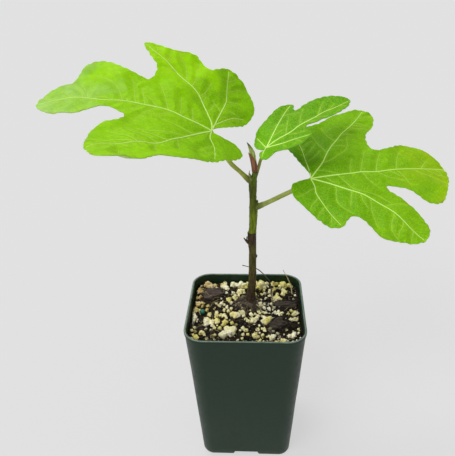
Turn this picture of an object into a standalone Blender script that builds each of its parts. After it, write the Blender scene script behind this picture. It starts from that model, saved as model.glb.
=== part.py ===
"""A young fig tree with three lobed leaves, in a square nursery pot.

+Z is up, the pot's front faces -Y, and the origin is the middle of the pot's base.
Sizes and places below are in millimetres; add_piece turns them into metres.
"""

import math
import random

import bmesh
import bpy
from mathutils import Euler, Matrix, Quaternion, Vector, noise
from mathutils.geometry import delaunay_2d_cdt
from mathutils.kdtree import KDTree

METRES = 0.001
GAP = 0.3  # clearance between pieces that touch on the real plant
SEED = 7

# The pot: a 2.5 inch square nursery pot, 3.5 inches deep
POT_TOP = 63.5
POT_BASE = 50.0
POT_HEIGHT = 89.0
TOP_CORNER = 10.5
BASE_CORNER = 6.5
CORNER_STEPS = 5
WALL = 1.2
BASE_EDGE = 1.8  # rounding between the base and the walls
RIM_HEIGHT = 2.0  # thicker band along the top edge
RIM_STEP = 0.35
NOTCH_WIDTH = 17.0  # raised notch in the middle of each base edge
NOTCH_SLOPE = 2.0
NOTCH_HEIGHT = 3.0
NOTCH_DEPTH = 10.0
DRAIN_LENGTH = 9.0
DRAIN_WIDTH = 4.0
CUT_PAST = 2.0  # how far a cutter runs past the face that it cuts

# The potting mix
SOIL_LEVEL = 83.5
SOIL_GRID = 4.0
SOIL_ROUGHNESS = 1.3
SOIL_LUMP_SPREAD = 7.0
CROWN = Vector((0.5, 4.0))  # middle of the dark fibrous mound round the stem
CROWN_HEIGHT = 3.0
CROWN_SPREAD = 8.0
STEM_CLEARING = 4.5  # how near the stem and the mound's middle small lumps may come
FINE_LUMP_WIDTH = 5.0  # wider lumps get more faces
LUMP_SINK = 0.2  # share of a lump's radius that its middle stands above the mix
LUMP_SWELL = (0.82, 1.0)  # range that each corner of a lump is drawn in from its radius
SMALL_LUMPS = 70
SMALL_LUMP_WIDTH = (1.8, 3.2)
SMALL_LUMP_SHARE = (0.7, 1.1)  # height over width

# The stem: x, y, z and radius along its middle
STEM_FOOT = Vector((2.6, 8.5))
HOLE_DEPTH = 24.0
BURIED_RADIUS = 2.4
STEM_PATH = (
    (2.6, 8.5, 85.5, 2.9),
    (2.8, 8.5, 90.0, 2.45),
    (3.5, 8.5, 100.0, 2.15),
    (3.7, 8.5, 117.0, 1.95),
    (3.5, 8.5, 122.5, 2.2),
    (3.5, 8.5, 129.0, 2.1),
    (3.9, 8.5, 134.0, 1.95),
    (4.2, 8.5, 143.0, 2.2),
    (4.0, 8.5, 149.0, 1.8),
    (3.9, 8.5, 157.5, 2.05),
    (4.6, 8.5, 161.0, 1.45),
    (5.0, 8.5, 163.5, 1.3),
)

# Twigs and buds fused to the stem: x, y, z and radius along each
TWIG_PATHS = (
    ((2.9, 8.4, 122.0, 0.7), (1.0, 7.9, 123.8, 0.6), (-0.9, 7.6, 126.6, 0.3)),
    ((1.4, 8.0, 123.4, 0.5), (0.7, 7.9, 125.2, 0.4), (0.8, 7.8, 127.4, 0.25)),
    ((5.0, 8.0, 145.0, 0.8), (6.0, 7.7, 147.2, 0.7), (6.2, 7.6, 148.8, 0.2)),
    ((3.6, 8.0, 159.6, 0.9), (2.7, 7.6, 161.6, 0.7), (2.4, 7.5, 163.2, 0.2)),
)

# The bud at the top
BUD_PATH = (
    (5.0, 8.5, 163.9, 1.0),
    (4.9, 8.5, 166.5, 1.15),
    (4.3, 8.5, 170.5, 1.25),
    (3.5, 8.5, 174.0, 1.3),
    (2.3, 8.5, 177.0, 0.7),
    (1.1, 8.5, 179.0, 0.15),
)
STIPULE_WALL = 0.4
STIPULE_ARC = 230.0  # degrees of the bud that the stipule wraps
STIPULE_FACING = 200.0  # degrees from +X to the middle of the wrap
STIPULE_STEPS = 12

# The leaf blades
BLADE_THICKNESS = 0.7
BLADE_GRID = 5.5
TOOTH_PITCH = 3.9
TOOTH_DEPTH = 0.7
POINTS_PER_TOOTH = 3
TOOTH_START = 12.0  # distance from the petiole at which the teeth are at their full depth
EDGE_INSET = 0.2  # how far the teeth's tips lie inside the outline
WAVE_LENGTH = 26.0
WAVE_HEIGHT = 0.8
WAVE_START = 18.0  # distance from the midrib at which the wave is at its full height


class Leaf:
    """One leaf: where its blade starts, how it lies, its outline and its petiole."""

    def __init__(self, joint, length, heading, rise, droop, roll, cup, outline, petiole):
        self.joint = Vector(joint)
        self.heading = math.radians(heading)
        self.rise = math.radians(rise)
        self.bend = math.radians(droop) / length
        self.roll = math.radians(roll)
        self.cup = cup
        self.outline = outline
        self.petiole = petiole

    def place(self, along, across, lift):
        """The point this far along the midrib, to its left, and above the blade's middle."""
        slope = self.rise - self.bend * along
        forward = (math.sin(self.rise) - math.sin(slope)) / self.bend
        upward = (math.cos(slope) - math.cos(self.rise)) / self.bend
        ahead = Vector((math.cos(self.heading), math.sin(self.heading), 0.0))
        left = Vector((-math.sin(self.heading), math.cos(self.heading), 0.0))
        above = Vector((0.0, 0.0, math.cos(slope))) - ahead * math.sin(slope)
        side = left * math.cos(self.roll) + above * math.sin(self.roll)
        normal = above * math.cos(self.roll) - left * math.sin(self.roll)
        turn = self.cup * across
        middle = self.joint + ahead * forward + Vector((0.0, 0.0, upward))
        sideways = side * (math.sin(turn) / self.cup)
        curled = normal * ((math.cos(turn) - 1) / self.cup)
        facing = normal * math.cos(turn) + side * math.sin(turn)
        return middle + sideways + curled + facing * (lift + wave(along, across))


# Outlines run from the petiole round the right side to the tip and back round the left side,
# as distances along the midrib and to its left
LEFT_LEAF = Leaf(
    joint=(-15.0, 0.0, 187.5),
    length=82.0,
    heading=-175.0,
    rise=33.0,
    droop=44.0,
    roll=-18.0,
    cup=-0.0085,
    outline=(
        (0, -1), (-8, -10), (-15, -19), (-16, -31), (-9, -41), (2, -46),
        (10, -39), (17, -44), (28, -43), (39, -43), (36, -35), (32, -28),
        (34, -20), (42, -22), (53, -27), (62, -24), (66, -13), (74, -9),
        (82, 1), (75, 11), (62, 13), (50, 7), (41, 12), (43, 19),
        (49, 24), (52, 38), (49, 59), (39, 73), (28, 60), (18, 43),
        (6, 36), (-8, 21), (-18, 6), (-14, 0), (-5, 1),
    ),
    petiole=((2.4, 8.2, 159.0, 1.3), (-2.0, 8.0, 163.6, 1.15), (-7.0, 7.0, 169.0, 1.1),
             (-11.0, 4.0, 177.0, 1.1)),
)
RIGHT_LEAF = Leaf(
    joint=(32.5, 6.0, 161.0),
    length=74.0,
    heading=13.0,
    rise=10.0,
    droop=24.0,
    roll=19.0,
    cup=0.0014,
    outline=(
        (0, 1), (-4, 0), (-10, -1), (-12, -8), (-9, -20), (-4, -31),
        (3, -35), (11, -30), (16, -37), (19, -46), (28, -49), (39, -50),
        (45, -42), (42, -29), (34, -15), (43, -18), (52, -27), (60, -26),
        (67, -16), (72, -6), (71, 4), (65, 14), (55, 18), (44, 14),
        (37, 15), (38, 26), (46, 37), (48, 47), (41, 52), (30, 49),
        (20, 43), (9, 40), (-1, 38), (-6, 32), (-4, 24), (-2, 14), (0, 6),
    ),
    petiole=((6.0, 8.2, 144.6, 1.5), (11.0, 8.0, 146.9, 1.25), (18.0, 7.5, 150.8, 1.2),
             (26.0, 6.6, 155.5, 1.15)),
)
TOP_LEAF = Leaf(
    joint=(10.5, 12.0, 175.0),
    length=50.0,
    heading=20.0,
    rise=33.0,
    droop=24.0,
    roll=10.0,
    cup=-0.009,
    outline=(
        (0, -1), (-4, 0), (-6, -4), (-4, -9), (2, -9), (8, -13),
        (15, -15), (21, -12), (22, -4), (30, -5), (38, -6), (45, -3),
        (50, 3), (46, 9), (38, 13), (29, 13), (24, 12), (25, 17),
        (18, 19), (8, 17), (1, 13), (-4, 6), (-3, 1),
    ),
    petiole=((5.4, 9.6, 161.6, 0.9), (6.8, 10.2, 165.6, 0.8), (8.0, 11.2, 169.6, 0.8)),
)

# Larger things in the mix that the photograph shows: x, y, width and height over width
LARGE_LUMPS = (
    (-8, -17, 8.5, 0.8), (-6, -3, 7.0, 0.6), (-23, -19, 4.0, 0.9), (-26, -22, 3.5, 0.9),
    (9, 28, 7.0, 1.1), (8, 5, 3.6, 1.7), (4, -8, 5.0, 0.8), (11, -7, 6.5, 0.9),
    (21, 25, 6.5, 1.0), (28, -1, 4.0, 1.0), (27, -6, 4.0, 0.9), (25, -20, 4.0, 1.0),
    (20, -25, 4.0, 0.9), (14, -22, 4.5, 0.8), (-13, 24, 5.5, 0.9), (-8, 28, 5.0, 0.9),
    (-3, 26, 6.0, 0.9), (-6, 13, 5.0, 1.0), (-3, 20, 5.5, 0.8), (-23, 26, 6.0, 0.9),
    (-27, 19, 4.5, 0.9), (-28, 13, 4.0, 0.9), (-27, 7, 4.5, 0.9), (-28, 2, 3.5, 0.9),
    (-28, -5, 3.5, 0.9), (-21, -8, 5.0, 0.9), (-16, -8, 5.0, 0.8), (-20, -2, 3.0, 0.9),
    (-14, -3, 3.5, 0.9), (-11, -9, 4.0, 0.8), (-14, 7, 3.5, 1.2), (-10, 12, 4.0, 0.6),
    (18, 0, 4.5, 0.7), (5, -20, 3.4, 0.9), (-1, -15, 3.4, 0.9), (16, 28, 4.0, 1.2),
    (18, 14, 5.0, 0.8), (22, 19, 4.5, 0.9), (26, 27, 4.0, 0.9), (14, 20, 4.0, 1.0),
)
# Bark chips: x, y, length, width and turn in degrees
BARK_CHIPS = ((-20, 17, 11.0, 7.0, 20.0), (22, 8, 12.0, 4.0, -8.0), (17, -10, 8.0, 6.0, 40.0))
BARK_THICKNESS = 3.0
BARK_TILT = (6.0, -7.0)  # degrees about X and Y
BEAD = (-24.0, -1.0, 2.8)  # the round fertiliser bead: x, y and width
BEAD_STAND = 0.8

# Straws and a thin root standing in the mix: x, y, z and radius along each
LOOSE_ROOT_PATH = (
    (14.5, 16.0, 79.0, 0.45), (13.8, 15.0, 92.5, 0.45), (10.9, 14.4, 98.2, 0.4),
    (6.4, 14.0, 103.2, 0.4), (1.3, 14.0, 104.8, 0.35), (-2.1, 14.0, 105.7, 0.3),
)
UPRIGHT_STRAW_PATH = ((14.8, 2.0, 79.0, 0.4), (14.6, 4.0, 87.0, 0.45), (14.4, 6.0, 96.0, 0.35))
LEANING_STRAW_PATH = ((27.0, 15.0, 79.0, 0.4), (25.6, 22.0, 87.5, 0.45), (21.4, 28.0, 94.0, 0.35))


def linear(channel):
    """A colour channel turned from sRGB to linear."""
    if channel <= 0.04045:
        return channel / 12.92
    return ((channel + 0.055) / 1.055) ** 2.4


def surface(name, colour, roughness):
    """A Principled material from an sRGB hex colour."""
    made = bpy.data.materials.new(name)
    made.use_nodes = True
    shader = made.node_tree.nodes["Principled BSDF"]
    channels = [linear(int(colour[start:start + 2], 16) / 255) for start in (0, 2, 4)]
    shader.inputs["Base Color"].default_value = (*channels, 1.0)
    shader.inputs["Roughness"].default_value = roughness
    shader.inputs["Metallic"].default_value = 0.0
    return made


def add_piece(name, build, material, origin=(0.0, 0.0, 0.0)):
    """An object, in metres and with its own origin, from a bmesh in millimetres."""
    bmesh.ops.recalc_face_normals(build, faces=build.faces)
    bmesh.ops.translate(build, vec=-Vector(origin), verts=build.verts)
    bmesh.ops.scale(build, vec=Vector((METRES, METRES, METRES)), verts=build.verts)
    mesh = bpy.data.meshes.new(name)
    build.to_mesh(mesh)
    build.free()
    mesh.materials.append(material)
    mesh.shade_smooth()
    mesh.set_sharp_from_angle(angle=math.radians(35))
    piece = bpy.data.objects.new(name, mesh)
    piece.location = Vector(origin) * METRES
    bpy.context.scene.collection.objects.link(piece)
    return piece


def combine(piece, others, operation):
    """Joins the other objects to the piece, or cuts them from it, and removes them."""
    group = bpy.data.collections.new(piece.name + "_operands")
    bpy.context.scene.collection.children.link(group)
    for other in others:
        bpy.context.scene.collection.objects.unlink(other)
        group.objects.link(other)
    boolean = piece.modifiers.new(operation.title(), "BOOLEAN")
    boolean.operation = operation
    boolean.solver = "EXACT"
    boolean.operand_type = "COLLECTION"
    boolean.collection = group
    bpy.context.view_layer.update()
    graph = bpy.context.evaluated_depsgraph_get()
    combined = bpy.data.meshes.new_from_object(piece.evaluated_get(graph))
    piece.modifiers.clear()
    piece.data = combined
    for other in others:
        bpy.data.objects.remove(other, do_unlink=True)
    bpy.data.collections.remove(group)


def smooth(points, steps, closed=False):
    """Points on the Catmull-Rom curve through the given ones."""
    points = [Vector(point) for point in points]
    count = len(points)
    curve = []
    for span in range(count if closed else count - 1):
        start = points[span]
        end = points[(span + 1) % count]
        before = points[span - 1] if closed or span else start * 2 - end
        after = points[(span + 2) % count] if closed or span + 2 < count else end * 2 - start
        for step in range(steps):
            t = step / steps
            curve.append(
                start
                + (end - before) * (t / 2)
                + (before * 2 - start * 5 + end * 4 - after) * (t * t / 2)
                + (start * 3 - before - end * 3 + after) * (t ** 3 / 2)
            )
    if not closed:
        curve.append(points[-1])
    return curve


def loft(rings):
    """A closed bmesh through rings of equal length, capped at both ends."""
    build = bmesh.new()
    loops = [[build.verts.new(point) for point in ring] for ring in rings]
    for lower, upper in zip(loops, loops[1:]):
        for index in range(len(lower)):
            build.faces.new((lower[index - 1], lower[index], upper[index], upper[index - 1]))
    build.faces.new(reversed(loops[0]))
    build.faces.new(loops[-1])
    return build


def tube(path, sides=8, steps=4):
    """A closed bmesh round a smooth path of (x, y, z, radius)."""
    curve = smooth(path, steps)
    middles = [point.to_3d() for point in curve]
    rings = []
    facing = Vector((0.0, 0.0, 1.0))
    turn = Quaternion()
    for index, point in enumerate(curve):
        ahead = middles[min(index + 1, len(curve) - 1)] - middles[max(index - 1, 0)]
        turn = facing.rotation_difference(ahead.normalized()) @ turn
        facing = ahead.normalized()
        ring = []
        for side in range(sides):
            angle = math.tau * side / sides
            ring.append(middles[index] + turn @ Vector((math.cos(angle), math.sin(angle), 0.0)) * point[3])
        rings.append(ring)
    return loft(rings)


def square_ring(side, corner, height):
    """A level rounded square, anticlockwise from its right side."""
    ring = []
    for quarter in range(4):
        for step in range(CORNER_STEPS + 1):
            angle = math.radians(90 * (quarter + step / CORNER_STEPS))
            turned = math.radians(90 * quarter + 45)
            reach = (side / 2 - corner) * math.sqrt(2)
            ring.append(Vector((
                reach * math.cos(turned) + corner * math.cos(angle),
                reach * math.sin(turned) + corner * math.sin(angle),
                height,
            )))
    return ring


def pot_side(height):
    """The pot's outer width at a height."""
    return POT_BASE + (POT_TOP - POT_BASE) * height / POT_HEIGHT


def pot_ring(height, inset):
    """The pot's cross-section at a height, moved inwards by inset."""
    corner = BASE_CORNER + (TOP_CORNER - BASE_CORNER) * height / POT_HEIGHT - inset
    return square_ring(pot_side(height) - 2 * inset, corner, height)


def notch_block(margin, quarter):
    """A wedge over one base notch, grown on all sides by margin, to cut with or to add."""
    bottom = NOTCH_WIDTH / 2 + margin
    top = NOTCH_WIDTH / 2 - NOTCH_SLOPE + margin
    ceiling = NOTCH_HEIGHT + margin
    inner = POT_BASE / 2 - NOTCH_DEPTH - margin
    outer = POT_BASE / 2 + CUT_PAST
    build = bmesh.new()
    profile = ((-bottom, -CUT_PAST), (bottom, -CUT_PAST), (top, ceiling), (-top, ceiling))
    face = build.faces.new([build.verts.new((inner, along, height)) for along, height in profile])
    grown = bmesh.ops.extrude_face_region(build, geom=[face])
    moved = [item for item in grown["geom"] if isinstance(item, bmesh.types.BMVert)]
    bmesh.ops.translate(build, vec=(outer - inner, 0, 0), verts=moved)
    bmesh.ops.rotate(build, matrix=Matrix.Rotation(math.radians(90 * quarter), 3, "Z"), verts=build.verts)
    return build


def inner_bump(margin, quarter):
    """The raised floor over one notch: the notch block kept inside the pot's outer faces."""
    bump = add_piece("bump", notch_block(margin, quarter), PLASTIC)
    inside = loft([pot_ring(WALL / 2, WALL / 2), pot_ring(POT_HEIGHT / 2, WALL / 2)])
    combine(bump, [add_piece("inside", inside, PLASTIC)], "INTERSECT")
    return bump


def make_pot():
    """The moulded pot: outer wall, rim band, inner wall and floor in one loft, then its notches."""
    rings = [
        pot_ring(0.0, BASE_EDGE * 0.8),
        pot_ring(BASE_EDGE * 0.3, BASE_EDGE * 0.25),
        pot_ring(BASE_EDGE, 0.0),
        pot_ring(POT_HEIGHT - RIM_HEIGHT, RIM_STEP),
        pot_ring(POT_HEIGHT - RIM_HEIGHT + RIM_STEP, 0.0),
        pot_ring(POT_HEIGHT - RIM_STEP, 0.0),
        pot_ring(POT_HEIGHT, RIM_STEP),
        pot_ring(POT_HEIGHT, WALL - RIM_STEP),
        pot_ring(POT_HEIGHT - RIM_STEP, WALL),
        pot_ring(WALL + BASE_EDGE, WALL),
        pot_ring(WALL + BASE_EDGE * 0.3, WALL + BASE_EDGE * 0.3),
        pot_ring(WALL, WALL + BASE_EDGE),
    ]
    pot = add_piece("pot", loft(rings), PLASTIC)
    combine(pot, [inner_bump(WALL, quarter) for quarter in range(4)], "UNION")
    cutters = [add_piece("notch", notch_block(0.0, quarter), PLASTIC) for quarter in range(4)]
    for quarter in range(4):
        hole = bmesh.new()
        bmesh.ops.create_cube(hole, size=1.0)
        bmesh.ops.scale(hole, vec=(DRAIN_WIDTH, DRAIN_LENGTH, 2 * CUT_PAST), verts=hole.verts)
        bmesh.ops.translate(
            hole, vec=(POT_BASE / 2 - NOTCH_DEPTH / 2, 0, NOTCH_HEIGHT + WALL), verts=hole.verts
        )
        bmesh.ops.rotate(hole, matrix=Matrix.Rotation(math.radians(90 * quarter), 3, "Z"), verts=hole.verts)
        cutters.append(add_piece("drain_hole", hole, PLASTIC))
    combine(pot, cutters, "DIFFERENCE")


def sheet_solid(outline, grid, upper, lower):
    """A closed bmesh between two surfaces over a flat outline, split alike on both."""
    near = KDTree(len(outline))
    for index, point in enumerate(outline):
        near.insert((*point, 0.0), index)
    near.balance()
    left = min(point[0] for point in outline)
    right = max(point[0] for point in outline)
    front = min(point[1] for point in outline)
    back = max(point[1] for point in outline)
    points = [Vector(point) for point in outline]
    row_step = grid * math.sqrt(3) / 2
    for row in range(int((back - front) / row_step) + 1):
        for column in range(int((right - left) / grid) + 1):
            place = Vector((left + (column + row % 2 / 2) * grid, front + row * row_step))
            if near.find((*place, 0.0))[2] > grid * 0.55:
                points.append(place)
    ends = [(index, (index + 1) % len(outline)) for index in range(len(outline))]
    flat, _, triangles, _, _, _ = delaunay_2d_cdt(points, ends, [], 1, 1e-5)
    used = sorted({index for triangle in triangles for index in triangle})
    build = bmesh.new()
    top = {index: build.verts.new(upper(*flat[index])) for index in used}
    bottom = {index: build.verts.new(lower(*flat[index])) for index in used}
    sides = {}
    for triangle in triangles:
        build.faces.new([top[index] for index in triangle])
        build.faces.new([bottom[index] for index in reversed(triangle)])
        for start, end in zip(triangle, triangle[1:] + triangle[:1]):
            sides[start, end] = None
    for start, end in sides:
        if (end, start) not in sides:
            build.faces.new((top[end], top[start], bottom[start], bottom[end]))
    return build


def soil_height(x, y):
    """The height of the mix: level, with lumps and a mound round the stem."""
    mound = CROWN_HEIGHT * math.exp(-((Vector((x, y)) - CROWN).length / CROWN_SPREAD) ** 2)
    lumps = SOIL_ROUGHNESS * noise.noise(Vector((x, y, 0.0)) / SOIL_LUMP_SPREAD)
    return SOIL_LEVEL + mound + lumps


def keep_inside(x, y, radius):
    """The nearest place at which a round thing stays clear of the pot's wall and corners."""
    half = pot_side(SOIL_LEVEL) / 2 - WALL - 2 * GAP
    corner = TOP_CORNER - WALL - 2 * GAP
    core = half - corner
    past = Vector((max(abs(x) - core, 0.0), max(abs(y) - core, 0.0)))
    if past.length > corner - radius:
        past.length = corner - radius
    return (
        math.copysign(min(abs(x), core) + past.x, x),
        math.copysign(min(abs(y), core) + past.y, y),
    )


def make_lump(x, y, width, height_share, shape, steps=1):
    """An uneven rounded lump standing in the top of the mix."""
    radius = width / 2
    x, y = keep_inside(x, y, radius)
    build = bmesh.new()
    bmesh.ops.create_icosphere(build, subdivisions=steps, radius=1.0)
    turn = Euler([shape.uniform(0, math.tau) for _ in range(3)]).to_matrix()
    for vert in build.verts:
        vert.co = turn @ vert.co * shape.uniform(*LUMP_SWELL)
        vert.co.z *= height_share
    bmesh.ops.scale(build, vec=(radius, radius, radius), verts=build.verts)
    middle = soil_height(x, y) + radius * height_share * LUMP_SINK
    bmesh.ops.translate(build, vec=(x, y, middle), verts=build.verts)
    return add_piece("lump", build, MIX)


def make_bark_chip(x, y, length, width, turn):
    """A flat bevelled chip lying in the mix."""
    build = bmesh.new()
    bmesh.ops.create_cube(build, size=1.0)
    bmesh.ops.scale(build, vec=(length, width, BARK_THICKNESS), verts=build.verts)
    bmesh.ops.bevel(
        build, geom=build.edges[:], offset=BARK_THICKNESS / 4, affect="EDGES",
        segments=1, profile=0.5, material=-1,
    )
    tilt = Euler([math.radians(angle) for angle in (*BARK_TILT, turn)]).to_matrix()
    bmesh.ops.rotate(build, matrix=tilt, verts=build.verts)
    bmesh.ops.translate(build, vec=(x, y, soil_height(x, y)), verts=build.verts)
    return add_piece("bark_chip", build, MIX)


def small_lumps(shape):
    """Places and sizes of the finer grains, drawn so that they keep off the stem and each other."""
    taken = [(Vector((x, y)), width / 2) for x, y, width, _ in LARGE_LUMPS]
    taken += [(Vector((x, y)), length / 2) for x, y, length, _, _ in BARK_CHIPS]
    taken.append((STEM_FOOT, STEM_CLEARING))
    taken.append((CROWN, STEM_CLEARING))
    taken.append((Vector(BEAD[:2]), BEAD[2] / 2))
    reach = pot_side(SOIL_LEVEL) / 2 - WALL - SMALL_LUMP_WIDTH[0]
    grains = []
    while len(grains) < SMALL_LUMPS:
        place = Vector((shape.uniform(-reach, reach), shape.uniform(-reach, reach)))
        width = shape.uniform(*SMALL_LUMP_WIDTH)
        if all((place - other).length > width / 2 + radius for other, radius in taken):
            taken.append((place, width / 2))
            grains.append((place.x, place.y, width, shape.uniform(*SMALL_LUMP_SHARE)))
    return grains


def make_soil():
    """The potting mix: a body that fills the pot, its lumps fused on, and a plain hole for the stem."""
    shape = random.Random(SEED)
    floor = WALL + GAP
    ring = [point.to_2d() for point in pot_ring(SOIL_LEVEL, WALL + GAP)]
    outline = []
    for start, end in zip(ring, ring[1:] + ring[:1]):
        pieces = max(1, round((end - start).length / SOIL_GRID))
        outline += [start.lerp(end, piece / pieces) for piece in range(pieces)]
    wide = ring[0].x
    narrow = pot_ring(floor, WALL + GAP + BASE_EDGE)[0].x
    shrink = narrow / wide
    body = sheet_solid(
        outline,
        SOIL_GRID,
        lambda x, y: (x, y, soil_height(x, y)),
        lambda x, y: (x * shrink, y * shrink, floor),
    )
    soil = add_piece("potting_mix", body, MIX)
    combine(soil, [inner_bump(WALL + GAP, quarter) for quarter in range(4)], "DIFFERENCE")
    things = [
        make_lump(x, y, width, share, shape, steps=2 if width > FINE_LUMP_WIDTH else 1)
        for x, y, width, share in LARGE_LUMPS
    ]
    things += [make_lump(*grain, shape) for grain in small_lumps(shape)]
    things += [make_bark_chip(*chip) for chip in BARK_CHIPS]
    bead = bmesh.new()
    bmesh.ops.create_icosphere(bead, subdivisions=2, radius=BEAD[2] / 2)
    bmesh.ops.translate(bead, vec=(*BEAD[:2], soil_height(*BEAD[:2]) + BEAD_STAND), verts=bead.verts)
    things.append(add_piece("bead", bead, MIX))
    for path in (LOOSE_ROOT_PATH, UPRIGHT_STRAW_PATH, LEANING_STRAW_PATH):
        things.append(add_piece("straw", tube(path, sides=5, steps=2), MIX))
    combine(soil, things, "UNION")
    bottom = STEM_PATH[0][2] - HOLE_DEPTH - GAP
    depth = SOIL_LEVEL + 2 * CROWN_HEIGHT + CUT_PAST - bottom
    hole = bmesh.new()
    bmesh.ops.create_cone(
        hole, cap_ends=True, segments=20, depth=depth,
        radius1=BURIED_RADIUS + GAP, radius2=STEM_PATH[0][3] + 2 * GAP,
    )
    bmesh.ops.translate(hole, vec=(*STEM_FOOT, bottom + depth / 2), verts=hole.verts)
    combine(soil, [add_piece("stem_hole", hole, MIX)], "DIFFERENCE")


def make_stem(name, margin=0.0):
    """The cutting and its shoot, with the dead stub and the axil buds fused on, grown by margin."""
    foot = (*STEM_FOOT, STEM_PATH[0][2] - HOLE_DEPTH, BURIED_RADIUS)
    trunk = [(*point[:3], point[3] + margin) for point in (foot, *STEM_PATH)]
    stem = add_piece(name, tube(trunk, sides=14, steps=3), BARK, origin=(*STEM_FOOT, SOIL_LEVEL))
    twigs = []
    for path in TWIG_PATHS:
        grown = [(*point[:3], point[3] + margin) for point in path]
        twigs.append(add_piece("twig", tube(grown, sides=6, steps=3), BARK))
    combine(stem, twigs, "UNION")
    return stem


def make_bud():
    """The furled tip, and the stipule that wraps its lower half."""
    add_piece("terminal_bud", tube(BUD_PATH, sides=10, steps=3), BUD, origin=BUD_PATH[0][:3])
    build = bmesh.new()
    rows = []
    for x, y, z, radius in smooth(BUD_PATH[:4], 3):
        height_share = (z - BUD_PATH[0][2]) / (BUD_PATH[3][2] - BUD_PATH[0][2])
        arc = math.radians(STIPULE_ARC) * (1 - 0.75 * height_share ** 2)
        row = []
        for step in range(STIPULE_STEPS + 1):
            angle = math.radians(STIPULE_FACING) + arc * (step / STIPULE_STEPS - 0.5)
            around = Vector((math.cos(angle), math.sin(angle), 0.0))
            inside = Vector((x, y, z)) + around * (radius + GAP)
            row.append((build.verts.new(inside), build.verts.new(inside + around * STIPULE_WALL)))
        rows.append(row)
    for lower, upper in zip(rows, rows[1:]):
        for (in_a, out_a), (in_b, out_b), (in_c, out_c), (in_d, out_d) in zip(
            lower, lower[1:], upper[1:], upper
        ):
            build.faces.new((out_a, out_b, out_c, out_d))
            build.faces.new((in_b, in_a, in_d, in_c))
    for row in (rows[0], rows[-1]):
        for (inner, outer), (next_inner, next_outer) in zip(row, row[1:]):
            build.faces.new((inner, next_inner, next_outer, outer))
    for column in (0, -1):
        for lower, upper in zip(rows, rows[1:]):
            build.faces.new((*lower[column], *reversed(upper[column])))
    add_piece("bud_stipule", build, STIPULE, origin=BUD_PATH[0][:3])


def wave(along, across):
    """How far the blade rises and falls, growing away from the midrib."""
    growth = min(1.0, (across / WAVE_START) ** 2)
    turns = math.tau / WAVE_LENGTH
    return WAVE_HEIGHT * growth * math.sin(along * turns) * math.cos(across * turns * 0.75)


def toothed(outline):
    """The outline as a smooth curve with small rounded teeth along it."""
    curve = smooth(outline, 8, closed=True)
    ends = [curve[index] for index in range(len(curve))] + [curve[0]]
    lengths = [0.0]
    for start, end in zip(ends, ends[1:]):
        lengths.append(lengths[-1] + (end - start).length)
    teeth = round(lengths[-1] / TOOTH_PITCH)
    count = teeth * POINTS_PER_TOOTH
    points = []
    span = 0
    for index in range(count):
        wanted = lengths[-1] * index / count
        while lengths[span + 1] < wanted:
            span += 1
        along = (ends[span + 1] - ends[span]).normalized()
        place = ends[span] + along * (wanted - lengths[span])
        outward = Vector((along.y, -along.x))
        notch = 1 - abs(math.sin(math.pi * index / POINTS_PER_TOOTH))
        growth = min(1.0, place.length / TOOTH_START)
        points.append(place - outward * (EDGE_INSET + TOOTH_DEPTH * notch * growth))
    return points


def make_leaf(name, leaf):
    """A blade with its toothed lobes, and the petiole that carries it."""
    half = BLADE_THICKNESS / 2
    build = sheet_solid(
        toothed(leaf.outline),
        BLADE_GRID,
        lambda along, across: leaf.place(along, across, half),
        lambda along, across: leaf.place(along, across, -half),
    )
    add_piece("blade_" + name, build, BLADE, origin=leaf.joint)
    radius = leaf.petiole[-1][3]
    seat = leaf.place(0.0, 0.0, -half - GAP - radius)
    path = (*leaf.petiole, (*seat, radius))
    petiole = add_piece("petiole_" + name, tube(path, sides=8, steps=4), PETIOLE, origin=path[0][:3])
    combine(petiole, [make_stem("stem_clearance", GAP)], "DIFFERENCE")


for old in list(bpy.data.objects):
    bpy.data.objects.remove(old, do_unlink=True)

PLASTIC = surface("green_plastic", "22382F", 0.45)
MIX = surface("potting_mix", "4A4038", 0.95)
BARK = surface("stem_bark", "5A5A24", 0.7)
PETIOLE = surface("petiole_skin", "A3B04E", 0.5)
BLADE = surface("leaf_blade", "7CB82A", 0.45)
BUD = surface("bud_skin", "8A8A3A", 0.55)
STIPULE = surface("stipule_skin", "7A4330", 0.6)

make_pot()
make_soil()
make_stem("stem")
make_bud()
make_leaf("left", LEFT_LEAF)
make_leaf("right", RIGHT_LEAF)
make_leaf("top", TOP_LEAF)
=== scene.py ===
import math
import random

import bmesh
import bpy
import numpy as np
from mathutils import Euler, Matrix, Vector, noise
from mathutils.kdtree import KDTree


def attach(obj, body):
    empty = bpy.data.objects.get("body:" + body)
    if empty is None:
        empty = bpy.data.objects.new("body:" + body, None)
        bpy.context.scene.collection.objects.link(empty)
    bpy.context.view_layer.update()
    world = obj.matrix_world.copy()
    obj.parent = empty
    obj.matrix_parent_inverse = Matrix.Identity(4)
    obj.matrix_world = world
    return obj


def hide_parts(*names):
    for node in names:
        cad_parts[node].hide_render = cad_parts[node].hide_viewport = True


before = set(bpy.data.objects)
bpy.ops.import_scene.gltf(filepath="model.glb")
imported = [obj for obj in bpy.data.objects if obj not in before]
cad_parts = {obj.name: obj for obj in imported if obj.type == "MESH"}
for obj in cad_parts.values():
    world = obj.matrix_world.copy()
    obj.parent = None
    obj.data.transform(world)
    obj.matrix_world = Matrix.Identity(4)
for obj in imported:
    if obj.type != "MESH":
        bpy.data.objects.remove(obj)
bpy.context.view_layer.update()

# Lengths are in millimetres, in the solids' own frame: +Z up, the pot's front to -Y.
METRES = 0.001
SEED = 7
noise.seed_set(SEED)  # vector noise draws its offsets from this

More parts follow.
